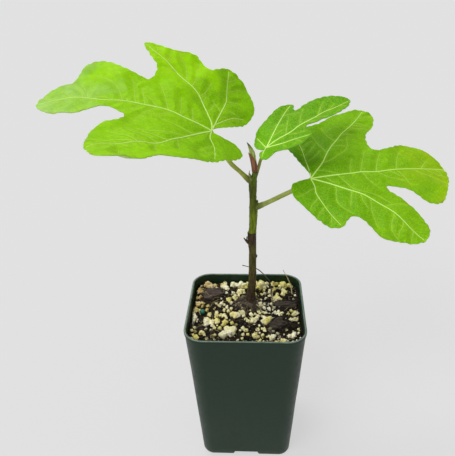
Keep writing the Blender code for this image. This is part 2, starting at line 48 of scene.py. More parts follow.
# The pot
# A square nursery pot, injection moulded in dark green polypropylene. Its walls lean out to a
# slightly thicker rim, and each base edge has a notch with a drain slot above it.
POT_TOP = 63.5
POT_BASE = 50.0
POT_HEIGHT = 89.0
TOP_CORNER = 10.5
BASE_CORNER = 6.5
CORNER_SEGMENTS = 12
WALL = 1.2
WALL_STEP = 3.5  # between the levels that the wall is built from
SIDE_CUTS = 13  # cuts across each flat side
BASE_EDGE = 1.8
RIM_HEIGHT = 2.0
RIM_STEP = 0.35
NOTCH_WIDTH = 17.0
NOTCH_SLOPE = 2.0
NOTCH_HEIGHT = 3.0
NOTCH_DEPTH = 10.0
DRAIN_LENGTH = 9.0
DRAIN_WIDTH = 4.0
DRAIN_CORNER = 1.6
CUT_PAST = 2.0
SINK_DEPTH = 0.12  # how far the thin walls wander from flat as they cool
SINK_SPREAD = 22.0
ROUNDED = 0.3  # where the middle of a rounded edge lies, as a share of its width
SHARP_ANGLE = 42.0  # degrees between two faces, above which their edge is shaded crisp


def linear(code):
    """A shader's colour from an sRGB hex code."""
    channels = [int(code[start:start + 2], 16) / 255 for start in (0, 2, 4)]
    return (*(c / 12.92 if c <= 0.04045 else ((c + 0.055) / 1.055) ** 2.4 for c in channels), 1.0)


def per_metre(size):
    """The scale of a pattern in Object coordinates whose repeat is this many millimetres."""
    return 1 / (size * METRES)


def new_material(name):
    """A material with its node tree and its Principled shader."""
    made = bpy.data.materials.new(name)
    made.use_nodes = True
    return made, made.node_tree, made.node_tree.nodes["Principled BSDF"]


def set_inputs(tree, node, inputs):
    """Gives inputs their values, or links them to a socket or to a node's first output."""
    for name, value in inputs.items():
        if isinstance(value, bpy.types.Node):
            value = value.outputs[0]
        if isinstance(value, bpy.types.NodeSocket):
            tree.links.new(value, node.inputs[name])
        else:
            node.inputs[name].default_value = value


def add_node(tree, kind, inputs, **settings):
    """Adds a shader node with its inputs and its own settings."""
    made = tree.nodes.new("ShaderNode" + kind)
    for name, value in settings.items():
        setattr(made, name, value)
    set_inputs(tree, made, inputs)
    return made


def add_piece(name, build, materials):
    """An object in metres, at the origin, from a bmesh in millimetres."""
    bmesh.ops.scale(build, vec=Vector((METRES, METRES, METRES)), verts=build.verts)
    mesh = bpy.data.meshes.new(name)
    build.to_mesh(mesh)
    build.free()
    for material in materials:
        mesh.materials.append(material)
    mesh.shade_smooth()
    mesh.set_sharp_from_angle(angle=math.radians(SHARP_ANGLE))
    piece = bpy.data.objects.new(name, mesh)
    bpy.context.scene.collection.objects.link(piece)
    return piece


def rounded_square(build, side, corner, height):
    """Adds the outline of a level square with round corners, and returns its edges."""
    before = set(build.edges)
    square = bmesh.ops.create_grid(
        build, x_segments=1, y_segments=1, size=side / 2, matrix=Matrix.Translation((0, 0, height))
    )
    bmesh.ops.bevel(
        build, geom=square["verts"], offset=corner, affect="VERTICES",
        segments=CORNER_SEGMENTS, profile=0.5, material=-1,
    )
    edges = [edge for edge in build.edges if edge not in before]
    bmesh.ops.delete(build, geom=edges[0].link_faces[:], context="FACES_ONLY")
    flats = [edge for edge in edges if edge.calc_length() > corner]
    bmesh.ops.subdivide_edges(build, edges=flats, cuts=SIDE_CUTS)
    return [edge for edge in build.edges if edge not in before]


def pot_ring(build, height, inset):
    """The outline of the pot's wall at a height, moved inwards by an inset."""
    share = height / POT_HEIGHT
    side = POT_BASE + (POT_TOP - POT_BASE) * share - 2 * inset
    corner = BASE_CORNER + (TOP_CORNER - BASE_CORNER) * share - inset
    return rounded_square(build, side, corner, height)


def combine(build, others, operation):
    """A bmesh joined to the others, or cut by them."""
    objects = []
    for part in (build, *others):
        bmesh.ops.recalc_face_normals(part, faces=part.faces)
        mesh = bpy.data.meshes.new("operand")
        part.to_mesh(mesh)
        part.free()
        objects.append(bpy.data.objects.new("operand", mesh))
        bpy.context.scene.collection.objects.link(objects[-1])
    for other in objects[1:]:
        boolean = objects[0].modifiers.new(operation, "BOOLEAN")
        boolean.operation = operation
        boolean.solver = "EXACT"
        boolean.object = other
    bpy.context.view_layer.update()
    graph = bpy.context.evaluated_depsgraph_get()
    result = bmesh.new()
    result.from_mesh(objects[0].evaluated_get(graph).data)
    for used in objects:
        bpy.data.meshes.remove(used.data)
    return result


def notch_wedge(margin, quarter):
    """A block that fills the notch in one base edge, larger all round by a margin."""
    width = NOTCH_WIDTH + 2 * margin
    length = NOTCH_DEPTH + CUT_PAST + margin
    height = NOTCH_HEIGHT + CUT_PAST + margin
    wedge = bmesh.new()
    bmesh.ops.create_cube(wedge, size=1.0)
    bmesh.ops.scale(wedge, vec=(length, width, height), verts=wedge.verts)
    ceiling = [vert for vert in wedge.verts if vert.co.z > 0]
    bmesh.ops.scale(wedge, vec=(1, 1 - 2 * NOTCH_SLOPE / width, 1), verts=ceiling)
    place = (POT_BASE / 2 + CUT_PAST - length / 2, 0, height / 2 - CUT_PAST)
    bmesh.ops.translate(wedge, vec=place, verts=wedge.verts)
    turn = Matrix.Rotation(math.radians(90 * quarter), 3, "Z")
    bmesh.ops.rotate(wedge, matrix=turn, verts=wedge.verts)
    return wedge


def kept_in_wall(wedge):
    """The part of a wedge that lies inside the pot's outer faces."""
    core = bmesh.new()
    lower = pot_ring(core, WALL / 2, WALL / 2)
    upper = pot_ring(core, POT_HEIGHT / 2, WALL / 2)
    bmesh.ops.bridge_loops(core, edges=lower + upper)
    bmesh.ops.holes_fill(core, edges=lower + upper, sides=0)
    return combine(wedge, [core], "INTERSECT")


def make_pot():
    """The wall, rim and floor as one skin through level outlines, then its notches and slots."""
    levels = [(0.0, BASE_EDGE * 0.8), (BASE_EDGE * ROUNDED, BASE_EDGE * 0.25), (BASE_EDGE, 0.0)]
    rim_foot = POT_HEIGHT - RIM_HEIGHT
    steps = round((rim_foot - BASE_EDGE) / WALL_STEP)
    rise = (rim_foot - BASE_EDGE) / steps
    levels += [(BASE_EDGE + rise * step, RIM_STEP * step / steps) for step in range(1, steps + 1)]
    levels += [
        (rim_foot + RIM_STEP, 0.0),
        (POT_HEIGHT - RIM_STEP, 0.0),
        (POT_HEIGHT - RIM_STEP * ROUNDED, RIM_STEP * ROUNDED),
        (POT_HEIGHT, RIM_STEP),
        (POT_HEIGHT, WALL - RIM_STEP),
        (POT_HEIGHT - RIM_STEP, WALL),
    ]
    levels += [(BASE_EDGE + rise * step, WALL) for step in range(steps, 0, -1)]
    levels += [(WALL + BASE_EDGE * ROUNDED, WALL + BASE_EDGE * ROUNDED), (WALL, WALL + BASE_EDGE)]
    shell = bmesh.new()
    loops = [pot_ring(shell, height, inset) for height, inset in levels]
    for lower, upper in zip(loops, loops[1:]):
        bmesh.ops.bridge_loops(shell, edges=lower + upper)
    bmesh.ops.holes_fill(shell, edges=loops[0] + loops[-1], sides=0)
    for vert in shell.verts:
        sink = noise.noise_vector(vert.co / SINK_SPREAD) * SINK_DEPTH
        vert.co.xy += sink.xy
    slots = []
    for quarter in range(4):
        slot = bmesh.new()
        bmesh.ops.create_cube(slot, size=1.0)
        bmesh.ops.scale(slot, vec=(DRAIN_WIDTH, DRAIN_LENGTH, 2 * CUT_PAST), verts=slot.verts)
        upright = [edge for edge in slot.edges if abs(edge.verts[0].co.z - edge.verts[1].co.z) > 1]
        bmesh.ops.bevel(
            slot, geom=upright, offset=DRAIN_CORNER, affect="EDGES",
            segments=4, profile=0.5, material=-1,
        )
        place = (POT_BASE / 2 - NOTCH_DEPTH / 2, 0, NOTCH_HEIGHT + WALL)
        bmesh.ops.translate(slot, vec=place, verts=slot.verts)
        turn = Matrix.Rotation(math.radians(90 * quarter), 3, "Z")
        bmesh.ops.rotate(slot, matrix=turn, verts=slot.verts)
        slots.append(slot)
    shell = combine(shell, [kept_in_wall(notch_wedge(WALL, quarter)) for quarter in range(4)], "UNION")
    return combine(shell, [notch_wedge(0.0, quarter) for quarter in range(4)] + slots, "DIFFERENCE")


def moulded_polypropylene():
    """Polypropylene straight from a satin mould: it spreads a highlight into a soft sheen along
    its rounded corners, and shows faint haze, dust near the floor and a paler lip, worn by rubbing and
    with a painted highlight along its edge."""
    GREEN = "122B1A"
    HAZE = "1F3629"
    LIP_WEAR_AND_HIGHLIGHT = "7F9184"
    made, tree, shader = new_material("moulded_polypropylene")
    place = add_node(tree, "TexCoord", {}).outputs["Object"]
    height = add_node(tree, "SeparateXYZ", {"Vector": place}).outputs["Z"]
    haze = add_node(tree, "TexNoise", {"Vector": place, "Scale": per_metre(26), "Detail": 4.0})
    low = add_node(tree, "MapRange", {
        "Value": height, "From Min": 0.0, "From Max": 60 * METRES, "To Min": 0.75, "To Max": 0.1,
    })
    spread = add_node(tree, "Math", {0: haze, 1: low}, operation="MULTIPLY")
    body = add_node(tree, "MixRGB", {"Fac": spread, "Color1": linear(GREEN), "Color2": linear(HAZE)})
    scuffs = add_node(tree, "TexNoise", {"Vector": place, "Scale": per_metre(2.5), "Detail": 6.0})
    # A paler band along the lip's top edge: wear, and a painted highlight of the rolled edge catching
    # light.
    lip = add_node(tree, "MapRange", {
        "Value": height, "From Min": (POT_HEIGHT - 0.45) * METRES, "From Max": POT_HEIGHT * METRES,
        "To Min": 0.0, "To Max": 1.5,
    })
    rubbed_and_highlit_lip = add_node(tree, "Math", {0: scuffs, 1: lip}, operation="MULTIPLY")
    colour = add_node(tree, "MixRGB", {"Fac": rubbed_and_highlit_lip, "Color1": body, "Color2": linear(LIP_WEAR_AND_HIGHLIGHT)})
    grain = add_node(tree, "TexNoise", {"Vector": place, "Scale": per_metre(0.6), "Detail": 3.0})
    satin = add_node(tree, "MapRange", {
        "Value": scuffs, "From Min": 0.3, "From Max": 0.7, "To Min": 0.34, "To Max": 0.48,
    })
    bump = add_node(tree, "Bump", {"Strength": 0.25, "Distance": 0.05 * METRES, "Height": grain})
    set_inputs(tree, shader, {
        "Base Color": colour, "Roughness": satin, "Normal": bump, "Specular IOR Level": 0.3,
    })
    return made


pot = add_piece("pot_moulding", make_pot(), [moulded_polypropylene()])
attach(pot, "root")
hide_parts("pot")

# The potting mix
# Peat that fills the pot to just under the rim, with a fibrous mound round the stem. It is loose on
# the real plant and held together by fine roots; here its surface is one skin of crumbs.
SOIL_LEVEL = 83.5
SOIL_CELL = 0.55
SOIL_ROUGHNESS = 1.3
SOIL_LUMP_SPREAD = 7.0
CROWN = Vector((0.5, 4.0))
CROWN_HEIGHT = 3.0
CROWN_SPREAD = 8.0
MIX_CLEARANCE = 0.15  # between the mix and the pot
CLOD_WIDTH = 3.2
CLOD_HEIGHT = 1.0
CLOD_REACH = 0.5  # from its middle to where its side meets the level, in widths
CRUMB_WIDTH = 1.1
CRUMB_HEIGHT = 0.55
CRUMB_REACH = 0.4
CRUMB_SHIFT = Vector((9, 4, 0))  # so that the crumbs don't follow the clods
SOIL_WIDTH = POT_BASE + (POT_TOP - POT_BASE) * SOIL_LEVEL / POT_HEIGHT
NEAR_LEVEL = SOIL_LEVEL - 0.01


def mix_height(x, y):
    """The height of the mix as the solid has it: level, with lumps and a mound round the stem."""
    mound = CROWN_HEIGHT * math.exp(-((Vector((x, y)) - CROWN).length / CROWN_SPREAD) ** 2)
    lumps = SOIL_ROUGHNESS * noise.noise(Vector((x, y, 0.0)) / SOIL_LUMP_SPREAD)
    return SOIL_LEVEL + mound + lumps


def crumbled(x, y):
    """How far the crumbs of peat stand above or below that height."""
    place = Vector((x, y, 0.0))
    clods = CLOD_REACH - noise.voronoi(place / CLOD_WIDTH)[0][0]
    crumbs = CRUMB_REACH - noise.voronoi(place / CRUMB_WIDTH + CRUMB_SHIFT)[0][0]
    return CLOD_HEIGHT * clods + CRUMB_HEIGHT * crumbs


NUDGES = (0.0, 0.11, -0.13, 0.23)  # in cells: a cut that leaves a many-sided face whole moves over
STRAY = 0.001  # how far over a cut a corner may lie
SNAP = 1e-5  # a corner nearer than this to a cut lies on it


def slice_faces(build, faces, axis, low, high, cell):
    """Cuts flat faces across an axis into strips about a cell wide, halving them each time."""
    strips = round((high - low) / cell)
    if strips < 2:
        return
    middle = low + (high - low) * (strips // 2) / strips
    across = Vector((0.0, 0.0, 0.0))
    across[axis] = 1.0
    halves = ([], [])
    for nudge in NUDGES:
        edges = {edge for face in faces for edge in face.edges}
        verts = {vert for face in faces for vert in face.verts}
        plane = across * (middle + nudge * cell)
        cut = bmesh.ops.bisect_plane(
            build, geom=[*faces, *edges, *verts], plane_co=plane, plane_no=across, dist=SNAP
        )
        faces = []
        for item in cut["geom"]:
            if isinstance(item, bmesh.types.BMFace):
                reach = [vert.co[axis] - plane[axis] for vert in item.verts]
                if min(reach) < -STRAY and max(reach) > STRAY:
                    faces.append(item)
                else:
                    halves[sum(reach) > 0].append(item)
        if not faces:
            break
    slice_faces(build, halves[0], axis, low, middle, cell)
    slice_faces(build, halves[1], axis, middle, high, cell)


def make_peat():
    """The body of the mix, down to the pot's floor, with a crumbled top."""
    peat = bmesh.new()
    inset = WALL + MIX_CLEARANCE
    upper = pot_ring(peat, SOIL_LEVEL, inset)
    lower = pot_ring(peat, WALL + MIX_CLEARANCE, inset + BASE_EDGE)
    bmesh.ops.bridge_loops(peat, edges=upper + lower)
    bmesh.ops.holes_fill(peat, edges=upper + lower, sides=0)
    peat = combine(peat, [notch_wedge(inset, quarter) for quarter in range(4)], "DIFFERENCE")
    reach = POT_TOP / 2
    for axis in (0, 1):
        level = [face for face in peat.faces if face.calc_center_median().z > NEAR_LEVEL]
        slice_faces(peat, level, axis, -reach, reach, SOIL_CELL)
    for vert in peat.verts:
        if vert.co.z > NEAR_LEVEL:
            vert.co.z = mix_height(vert.co.x, vert.co.y) + crumbled(vert.co.x, vert.co.y)
    return peat


def sphagnum_peat():
    """Moist sphagnum peat, milled and compressed: nearly black and fully matte, with browner dry
    crumbs and pale flecks, so that it reads as many small pieces and not as one dark face."""
    WET = "100C08"
    DRY = "3A2C1E"
    FLECK = "8F846F"
    made, tree, shader = new_material("sphagnum_peat")
    place = add_node(tree, "TexCoord", {}).outputs["Object"]
    clods = add_node(tree, "TexNoise", {
        "Vector": place, "Scale": per_metre(3), "Detail": 8.0, "Roughness": 0.7,
    })
    dryness = add_node(tree, "MapRange", {"Value": clods, "From Min": 0.45, "From Max": 0.75})
    body = add_node(tree, "MixRGB", {"Fac": dryness, "Color1": linear(WET), "Color2": linear(DRY)})
    specks = add_node(tree, "TexVoronoi", {"Vector": place, "Scale": per_metre(0.9)})
    bright = add_node(tree, "MapRange", {
        "Value": specks, "From Min": 0.16, "From Max": 0.08, "To Max": 0.7,
    })
    colour = add_node(tree, "MixRGB", {"Fac": bright, "Color1": body, "Color2": linear(FLECK)})
    fine = add_node(tree, "TexNoise", {"Vector": place, "Scale": per_metre(0.5), "Detail": 6.0})
    bump = add_node(tree, "Bump", {"Strength": 0.9, "Distance": 0.3 * METRES, "Height": fine})
    set_inputs(tree, shader, {
        "Base Color": colour, "Normal": bump, "Roughness": 0.95, "Specular IOR Level": 0.2,
    })
    return made


PEAT = sphagnum_peat()
peat_body = add_piece("mix_peat", make_peat(), [PEAT])
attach(peat_body, "root")
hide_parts("potting_mix")

# Perlite
# Volcanic glass popped in a kiln to a light froth. The larger pieces stand where the solid has its
# lumps, grown by the same seeded rule, and finer grains are scattered between them.
LARGE_LUMPS = (
    (-8, -17, 8.5, 0.8), (-6, -3, 7.0, 0.6), (-23, -19, 4.0, 0.9), (-26, -22, 3.5, 0.9),
    (9, 28, 7.0, 1.1), (8, 5, 3.6, 1.7), (4, -8, 5.0, 0.8), (11, -7, 6.5, 0.9),
    (21, 25, 6.5, 1.0), (28, -1, 4.0, 1.0), (27, -6, 4.0, 0.9), (25, -20, 4.0, 1.0),
    (20, -25, 4.0, 0.9), (14, -22, 4.5, 0.8), (-13, 24, 5.5, 0.9), (-8, 28, 5.0, 0.9),
    (-3, 26, 6.0, 0.9), (-6, 13, 5.0, 1.0), (-3, 20, 5.5, 0.8), (-23, 26, 6.0, 0.9),
    (-27, 19, 4.5, 0.9), (-28, 13, 4.0, 0.9), (-27, 7, 4.5, 0.9), (-28, 2, 3.5, 0.9),
    (-28, -5, 3.5, 0.9), (-21, -8, 5.0, 0.9), (-16, -8, 5.0, 0.8), (-20, -2, 3.0, 0.9),
    (-14, -3, 3.5, 0.9), (-11, -9, 4.0, 0.8), (-14, 7, 3.5, 1.2), (-10, 12, 4.0, 0.6),
    (18, 0, 4.5, 0.7), (5, -20, 3.4, 0.9), (-1, -15, 3.4, 0.9), (16, 28, 4.0, 1.2),
    (18, 14, 5.0, 0.8), (22, 19, 4.5, 0.9), (26, 27, 4.0, 0.9), (14, 20, 4.0, 1.0),
)
BARK_CHIPS = ((-20, 17, 11.0, 7.0, 20.0), (22, 8, 12.0, 4.0, -8.0), (17, -10, 8.0, 6.0, 40.0))
BEAD = (-24.0, -1.0, 2.8)
STEM_FOOT = Vector((2.6, 8.5))
STEM_CLEARING = 4.5
FINE_LUMP_WIDTH = 5.0
LUMP_SINK = 0.2
LUMP_SWELL = (0.82, 1.0)
SMALL_LUMPS = 70
SMALL_LUMP_WIDTH = (1.8, 3.2)
SMALL_LUMP_SHARE = (0.7, 1.1)
FROTH_WIDTH = 0.85  # the bubbles that a grain popped into, against its radius
FROTH_SWELL = 0.2
FROTH_RISE = 0.8
PORE_WIDTH = 0.7
PORE_RISE = 0.2
BUDS = (1, 3)  # smaller blisters stuck to each lump
BUD_WIDTH = (0.45, 0.75)
FLATNESS = 0.22  # how far a lump is longer one way than another
FINE_LUMPS = 105
FINE_WIDTH = (1.1, 2.9)
GRAINS = 520
GRAIN_WIDTH = (0.3, 1.3)
GRAIN_CLEARING = 3.4
BARE_PATCHES = (  # of peat that shows between the lumps: x, y and radius
    (-21, -22, 9), (19, -12, 9), (-2, -14, 4), (-20, 16, 7),
    (22, 8, 7), (-10, -29, 5), (1, -29, 6), (11, -29, 5),
)
BARE_SHARE = 0.85  # of the loose pieces that would lie there, those left out
WALL_GAP = 0.6  # kept between a grain and the pot
EDGE_MARGIN = 1.0  # and between the middle of anything scattered and that gap
BUD_AWAY = (0.35, 0.6)  # from the lump's middle, in widths
BLISTER_SWELL = (0.8, 1.15)
BLISTER_STAND = 0.35
CRUMB_FOLLOWING = 0.5  # how far a blister rises and falls with the crumbs under it
GRAIN_SWELL = (0.6, 1.15)
GRAIN_STAND = 0.1


def keep_inside(x, y, radius):
    """The nearest place at which a round thing stays clear of the pot's wall and corners."""
    half = SOIL_WIDTH / 2 - WALL - WALL_GAP
    corner = TOP_CORNER - WALL - WALL_GAP
    core = half - corner
    past = Vector((max(abs(x) - core, 0.0), max(abs(y) - core, 0.0)))
    if past.length > corner - radius:
        past.length = corner - radius
    return (
        math.copysign(min(abs(x), core) + past.x, x),
        math.copysign(min(abs(y), core) + past.y, y),
    )


def add_to(build, part):
    """Moves one bmesh's geometry into another."""
    mesh = bpy.data.meshes.new("part")
    part.to_mesh(mesh)
    part.free()
    build.from_mesh(mesh)
    bpy.data.meshes.remove(mesh)


def froth(lump, radius, middle, cuts):
    """Splits a lump's faces, blows them into bubbles and pits them with pores, and places it."""
    bmesh.ops.subdivide_edges(lump, edges=lump.edges[:], cuts=cuts, use_grid_fill=True)
    for vert in lump.verts:
        out = vert.co.normalized()
        bubble = FROTH_SWELL - noise.voronoi((vert.co + middle) / (FROTH_WIDTH * radius))[0][0] ** 2
        pore = noise.noise((vert.co + middle) / PORE_WIDTH)
        vert.co += out * (FROTH_RISE * bubble * radius + PORE_RISE * pore)
    bmesh.ops.translate(lump, vec=middle, verts=lump.verts)


def popped_lump(x, y, width, height_share, shape):
    """A lump as the solid has it, then frothed."""
    radius = width / 2
    x, y = keep_inside(x, y, radius)
    lump = bmesh.new()
    bmesh.ops.create_icosphere(lump, subdivisions=2 if width > FINE_LUMP_WIDTH else 1, radius=1.0)
    turn = Euler([shape.uniform(0, math.tau) for _ in range(3)]).to_matrix()
    for vert in lump.verts:
        vert.co = turn @ vert.co * shape.uniform(*LUMP_SWELL)
        vert.co.z *= height_share
    bmesh.ops.scale(lump, vec=(radius, radius, radius), verts=lump.verts)
    middle = Vector((x, y, mix_height(x, y) + radius * height_share * LUMP_SINK))
    froth(lump, radius, middle, 3 if width > FINE_LUMP_WIDTH else 5)
    return lump


def blister(x, y, width, shape):
    """A smaller angular piece, longer one way than another."""
    radius = width / 2
    x, y = keep_inside(x, y, radius)
    piece = bmesh.new()
    bmesh.ops.create_icosphere(piece, subdivisions=1, radius=radius)
    turn = Euler([shape.uniform(0, math.tau) for _ in range(3)]).to_matrix()
    stretch = Vector([1 + shape.uniform(-1, 1) * FLATNESS for _ in range(3)])
    for vert in piece.verts:
        vert.co = turn @ (vert.co * stretch * shape.uniform(*BLISTER_SWELL))
    height = mix_height(x, y) + crumbled(x, y) * CRUMB_FOLLOWING + radius * BLISTER_STAND
    middle = Vector((x, y, height))
    froth(piece, radius, middle, 2)
    return piece


def small_lumps(shape):
    """Places and sizes of the finer lumps, drawn so that they keep off the stem and each other."""
    taken = [(Vector((x, y)), width / 2) for x, y, width, *_ in (*LARGE_LUMPS, *BARK_CHIPS, BEAD)]
    taken += [(STEM_FOOT, STEM_CLEARING), (CROWN, STEM_CLEARING)]
    reach = SOIL_WIDTH / 2 - WALL - SMALL_LUMP_WIDTH[0]
    lumps = []
    while len(lumps) < SMALL_LUMPS:
        place = Vector((shape.uniform(-reach, reach), shape.uniform(-reach, reach)))
        width = shape.uniform(*SMALL_LUMP_WIDTH)
        if all((place - other).length > width / 2 + radius for other, radius in taken):
            taken.append((place, width / 2))
            lumps.append((place.x, place.y, width, shape.uniform(*SMALL_LUMP_SHARE)))
    return lumps


def rough_grain(width, shape):
    """An uneven angular grain round the origin."""
    grain = bmesh.new()
    bmesh.ops.create_icosphere(grain, subdivisions=1, radius=width / 2)
    for vert in grain.verts:
        vert.co *= shape.uniform(*GRAIN_SWELL)
    return grain


def lies_bare(x, y):
    """Whether a place is in one of the patches of bare peat."""
    return any(math.dist((x, y), patch[:2]) < patch[2] for patch in BARE_PATCHES)


def scattered(count, shape, stand, bare_share=0.0):
    """Random places on the mix, each with the height of its surface, off the stem."""
    reach = POT_TOP / 2 - WALL
    places = []
    while len(places) < count:
        x, y = keep_inside(shape.uniform(-reach, reach), shape.uniform(-reach, reach), EDGE_MARGIN)
        left_out = lies_bare(x, y) and shape.random() < bare_share
        if not left_out and (Vector((x, y)) - STEM_FOOT).length > GRAIN_CLEARING:
            places.append(Vector((x, y, mix_height(x, y) + crumbled(x, y) + stand)))
    return places


def mostly_small(sizes, power, shape):
    """A size between two, drawn nearer the smaller one the higher the power."""
    return sizes[0] + (sizes[1] - sizes[0]) * shape.random() ** power


def make_perlite():
    """Every lump that the solid has, and the grains between them."""
    shape = random.Random(SEED)
    perlite = bmesh.new()
    for x, y, width, height_share in LARGE_LUMPS:
        add_to(perlite, popped_lump(x, y, width, height_share, shape))
    for x, y, width, height_share in small_lumps(shape):
        lump = popped_lump(x, y, width, height_share, shape)
        for face in lump.faces:
            face.material_index = int(lies_bare(x, y))
        add_to(perlite, lump)
    for x, y, width, _ in LARGE_LUMPS:
        for _ in range(shape.randint(*BUDS)):
            heading = shape.uniform(0, math.tau)
            away = width * shape.uniform(*BUD_AWAY)
            size = min(width * shape.uniform(*BUD_WIDTH), FINE_LUMP_WIDTH)
            side = (x + math.cos(heading) * away, y + math.sin(heading) * away)
            add_to(perlite, blister(*side, size, shape))
    for place in scattered(FINE_LUMPS, shape, 0.0, BARE_SHARE):
        add_to(perlite, blister(place.x, place.y, mostly_small(FINE_WIDTH, 1.6, shape), shape))
    for place in scattered(GRAINS, shape, GRAIN_STAND, BARE_SHARE):
        grain = rough_grain(mostly_small(GRAIN_WIDTH, 2.5, shape), shape)
        bmesh.ops.translate(grain, vec=place, verts=grain.verts)
        add_to(perlite, grain)
    return perlite


def expanded_perlite(name, stained_from, stained_to):
    """Perlite popped in a kiln: a dry glass froth, chalk white where fresh and stained cream to
    tan by feed salts, most of all along the pot's left wall, with peat caught in its pores."""
    CHALK = "F8F3D6"
    CREAM = "E0D47A"
    TAN = "B8975A"
    PEAT_STAIN = "4A3D28"
    made, tree, shader = new_material(name)
    place = add_node(tree, "TexCoord", {}).outputs["Object"]
    axes = add_node(tree, "SeparateXYZ", {"Vector": place})
    patches = add_node(tree, "TexNoise", {"Vector": place, "Scale": per_metre(9), "Detail": 2.0})
    creamy = add_node(tree, "MapRange", {"Value": patches, "From Min": 0.35, "From Max": 0.62})
    fresh = add_node(tree, "MixRGB", {"Fac": creamy, "Color1": linear(CHALK), "Color2": linear(CREAM)})
    left = add_node(tree, "MapRange", {
        "Value": axes.outputs["X"], "From Min": -12 * METRES, "From Max": -24 * METRES,
    })
    back = add_node(tree, "MapRange", {
        "Value": axes.outputs["Y"], "From Min": -8 * METRES, "From Max": 14 * METRES, "To Max": 0.9,
    })
    wall = add_node(tree, "Math", {0: left, 1: back}, operation="MULTIPLY")
    edge = add_node(tree, "Math", {0: wall, 1: patches}, operation="MULTIPLY")
    salt = add_node(tree, "Math", {0: edge, 1: 1.9}, operation="MULTIPLY", use_clamp=True)
    stained = add_node(tree, "MixRGB", {"Fac": salt, "Color1": fresh, "Color2": linear(TAN)})
    grime = add_node(tree, "TexNoise", {"Vector": place, "Scale": per_metre(1.6), "Detail": 5.0})
    caught = add_node(tree, "MapRange", {
        "Value": grime, "From Min": stained_from, "From Max": stained_to, "To Max": 0.8,
    })
    colour = add_node(tree, "MixRGB", {"Fac": caught, "Color1": stained, "Color2": linear(PEAT_STAIN)})
    pores = add_node(tree, "TexVoronoi", {"Vector": place, "Scale": per_metre(0.45)})
    bump = add_node(tree, "Bump", {"Strength": 0.5, "Distance": 0.12 * METRES, "Height": pores})
    set_inputs(tree, shader, {"Base Color": colour, "Normal": bump, "Roughness": 0.85})
    return made


perlite_lumps = add_piece("mix_perlite", make_perlite(), [
    expanded_perlite("clean_perlite", 0.58, 0.72), expanded_perlite("peat_caked_perlite", 0.3, 0.52),
])
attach(perlite_lumps, "root")
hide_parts("potting_mix")

# Bark, crumbs and fibres
# Composted pine bark, crumbs of peat, straws and fine roots lie loose on top of the mix, with one
# round bead of slow-release feed at the left.
BARK_THICKNESS = 3.0
BARK_TILT = (6.0, -7.0)
BARK_CUTS = 7
LAYER_SIZE = (4.5, 1.3, 0.7)  # along, across and through the chip
LAYER_STAND = 1.0
FLAKE_SIZE = (1.9, 0.6, 0.5)
FLAKE_STAND = 0.5
TEAR_SIZE = 2.6
TEAR_REACH = 1.3
TEAR_LIFT = 0.4  # of that reach, upwards
BEAD_STAND = 0.8
CRUMBS = 900
CRUMB_SIZES = (0.7, 2.3)
CRUMB_STAND = 0.15
BARK_CRUMB_SHARE = 0.25
FIBRES = 120
FIBRE_STEPS = 5
FIBRE_RADII = (0.06, 0.12)
FIBRE_PACES = (0.8, 2.0)
FIBRE_STAND = (0.3, 0.9)
FIBRE_ARCH = 0.4
FIBRE_TAPER = 0.4
FIBRE_WANDER = 0.55  # radians that a strand strays at each step
CROWN_ROOTS = 230
ROOT_RADII = (0.07, 0.2)
ROOT_PACES = (0.6, 1.5)
ROOT_REACH = (1.0, 6.5)
ROOT_SPLAY = 1.3  # radians from straight away from the stem
LOOSE_ROOT_PATH = (
    (14.5, 16.0, 79.0, 0.4), (13.8, 15.0, 92.5, 0.35), (10.9, 14.4, 98.2, 0.28),
    (6.4, 14.0, 103.2, 0.25), (1.3, 14.0, 104.8, 0.2), (-2.1, 14.0, 105.7, 0.26),
)
UPRIGHT_STRAW_PATH = ((14.8, 2.0, 79.0, 0.34), (14.6, 4.0, 87.0, 0.32), (14.4, 6.0, 96.0, 0.2))
LEANING_STRAW_PATH = ((27.0, 15.0, 79.0, 0.34), (25.6, 22.0, 87.5, 0.3), (21.4, 28.0, 94.0, 0.16))


def smooth(points, steps, closed=False):
    """Points on the Catmull-Rom curve through the given ones."""
    points = [Vector(point) for point in points]
    count = len(points)
    curve = []
    for span in range(count if closed else count - 1):
        start = points[span]
        end = points[(span + 1) % count]
        before = points[span - 1] if closed or span else start * 2 - end
        after = points[(span + 2) % count] if closed or span + 2 < count else end * 2 - start
        for step in range(steps):
            t = step / steps
            curve.append(
                start
                + (end - before) * (t / 2)
                + (before * 2 - start * 5 + end * 4 - after) * (t * t / 2)
                + (start * 3 - before - end * 3 + after) * (t ** 3 / 2)
            )
    if not closed:
        curve.append(points[-1])
    return curve


def tubes(paths, rounding):
    """Closed tubes along paths of (x, y, z, radius), with 4 + 2 * rounding sides."""
    curve = bpy.data.curves.new("paths", "CURVE")
    curve.dimensions = "3D"
    curve.bevel_depth = 1.0
    curve.bevel_resolution = rounding
    for path in paths:
        line = curve.splines.new("POLY")
        line.points.add(len(path) - 1)
        for point, (x, y, z, radius) in zip(line.points, path):
            point.co = (x, y, z, 1.0)
            point.radius = radius
    holder = bpy.data.objects.new("paths", curve)
    mesh = bpy.data.meshes.new_from_object(holder)
    build = bmesh.new()
    build.from_mesh(mesh)
    bmesh.ops.holes_fill(build, edges=build.edges, sides=4 + 2 * rounding)
    bmesh.ops.recalc_face_normals(build, faces=build.faces)
    bpy.data.curves.remove(curve)
    bpy.data.meshes.remove(mesh)
    return build


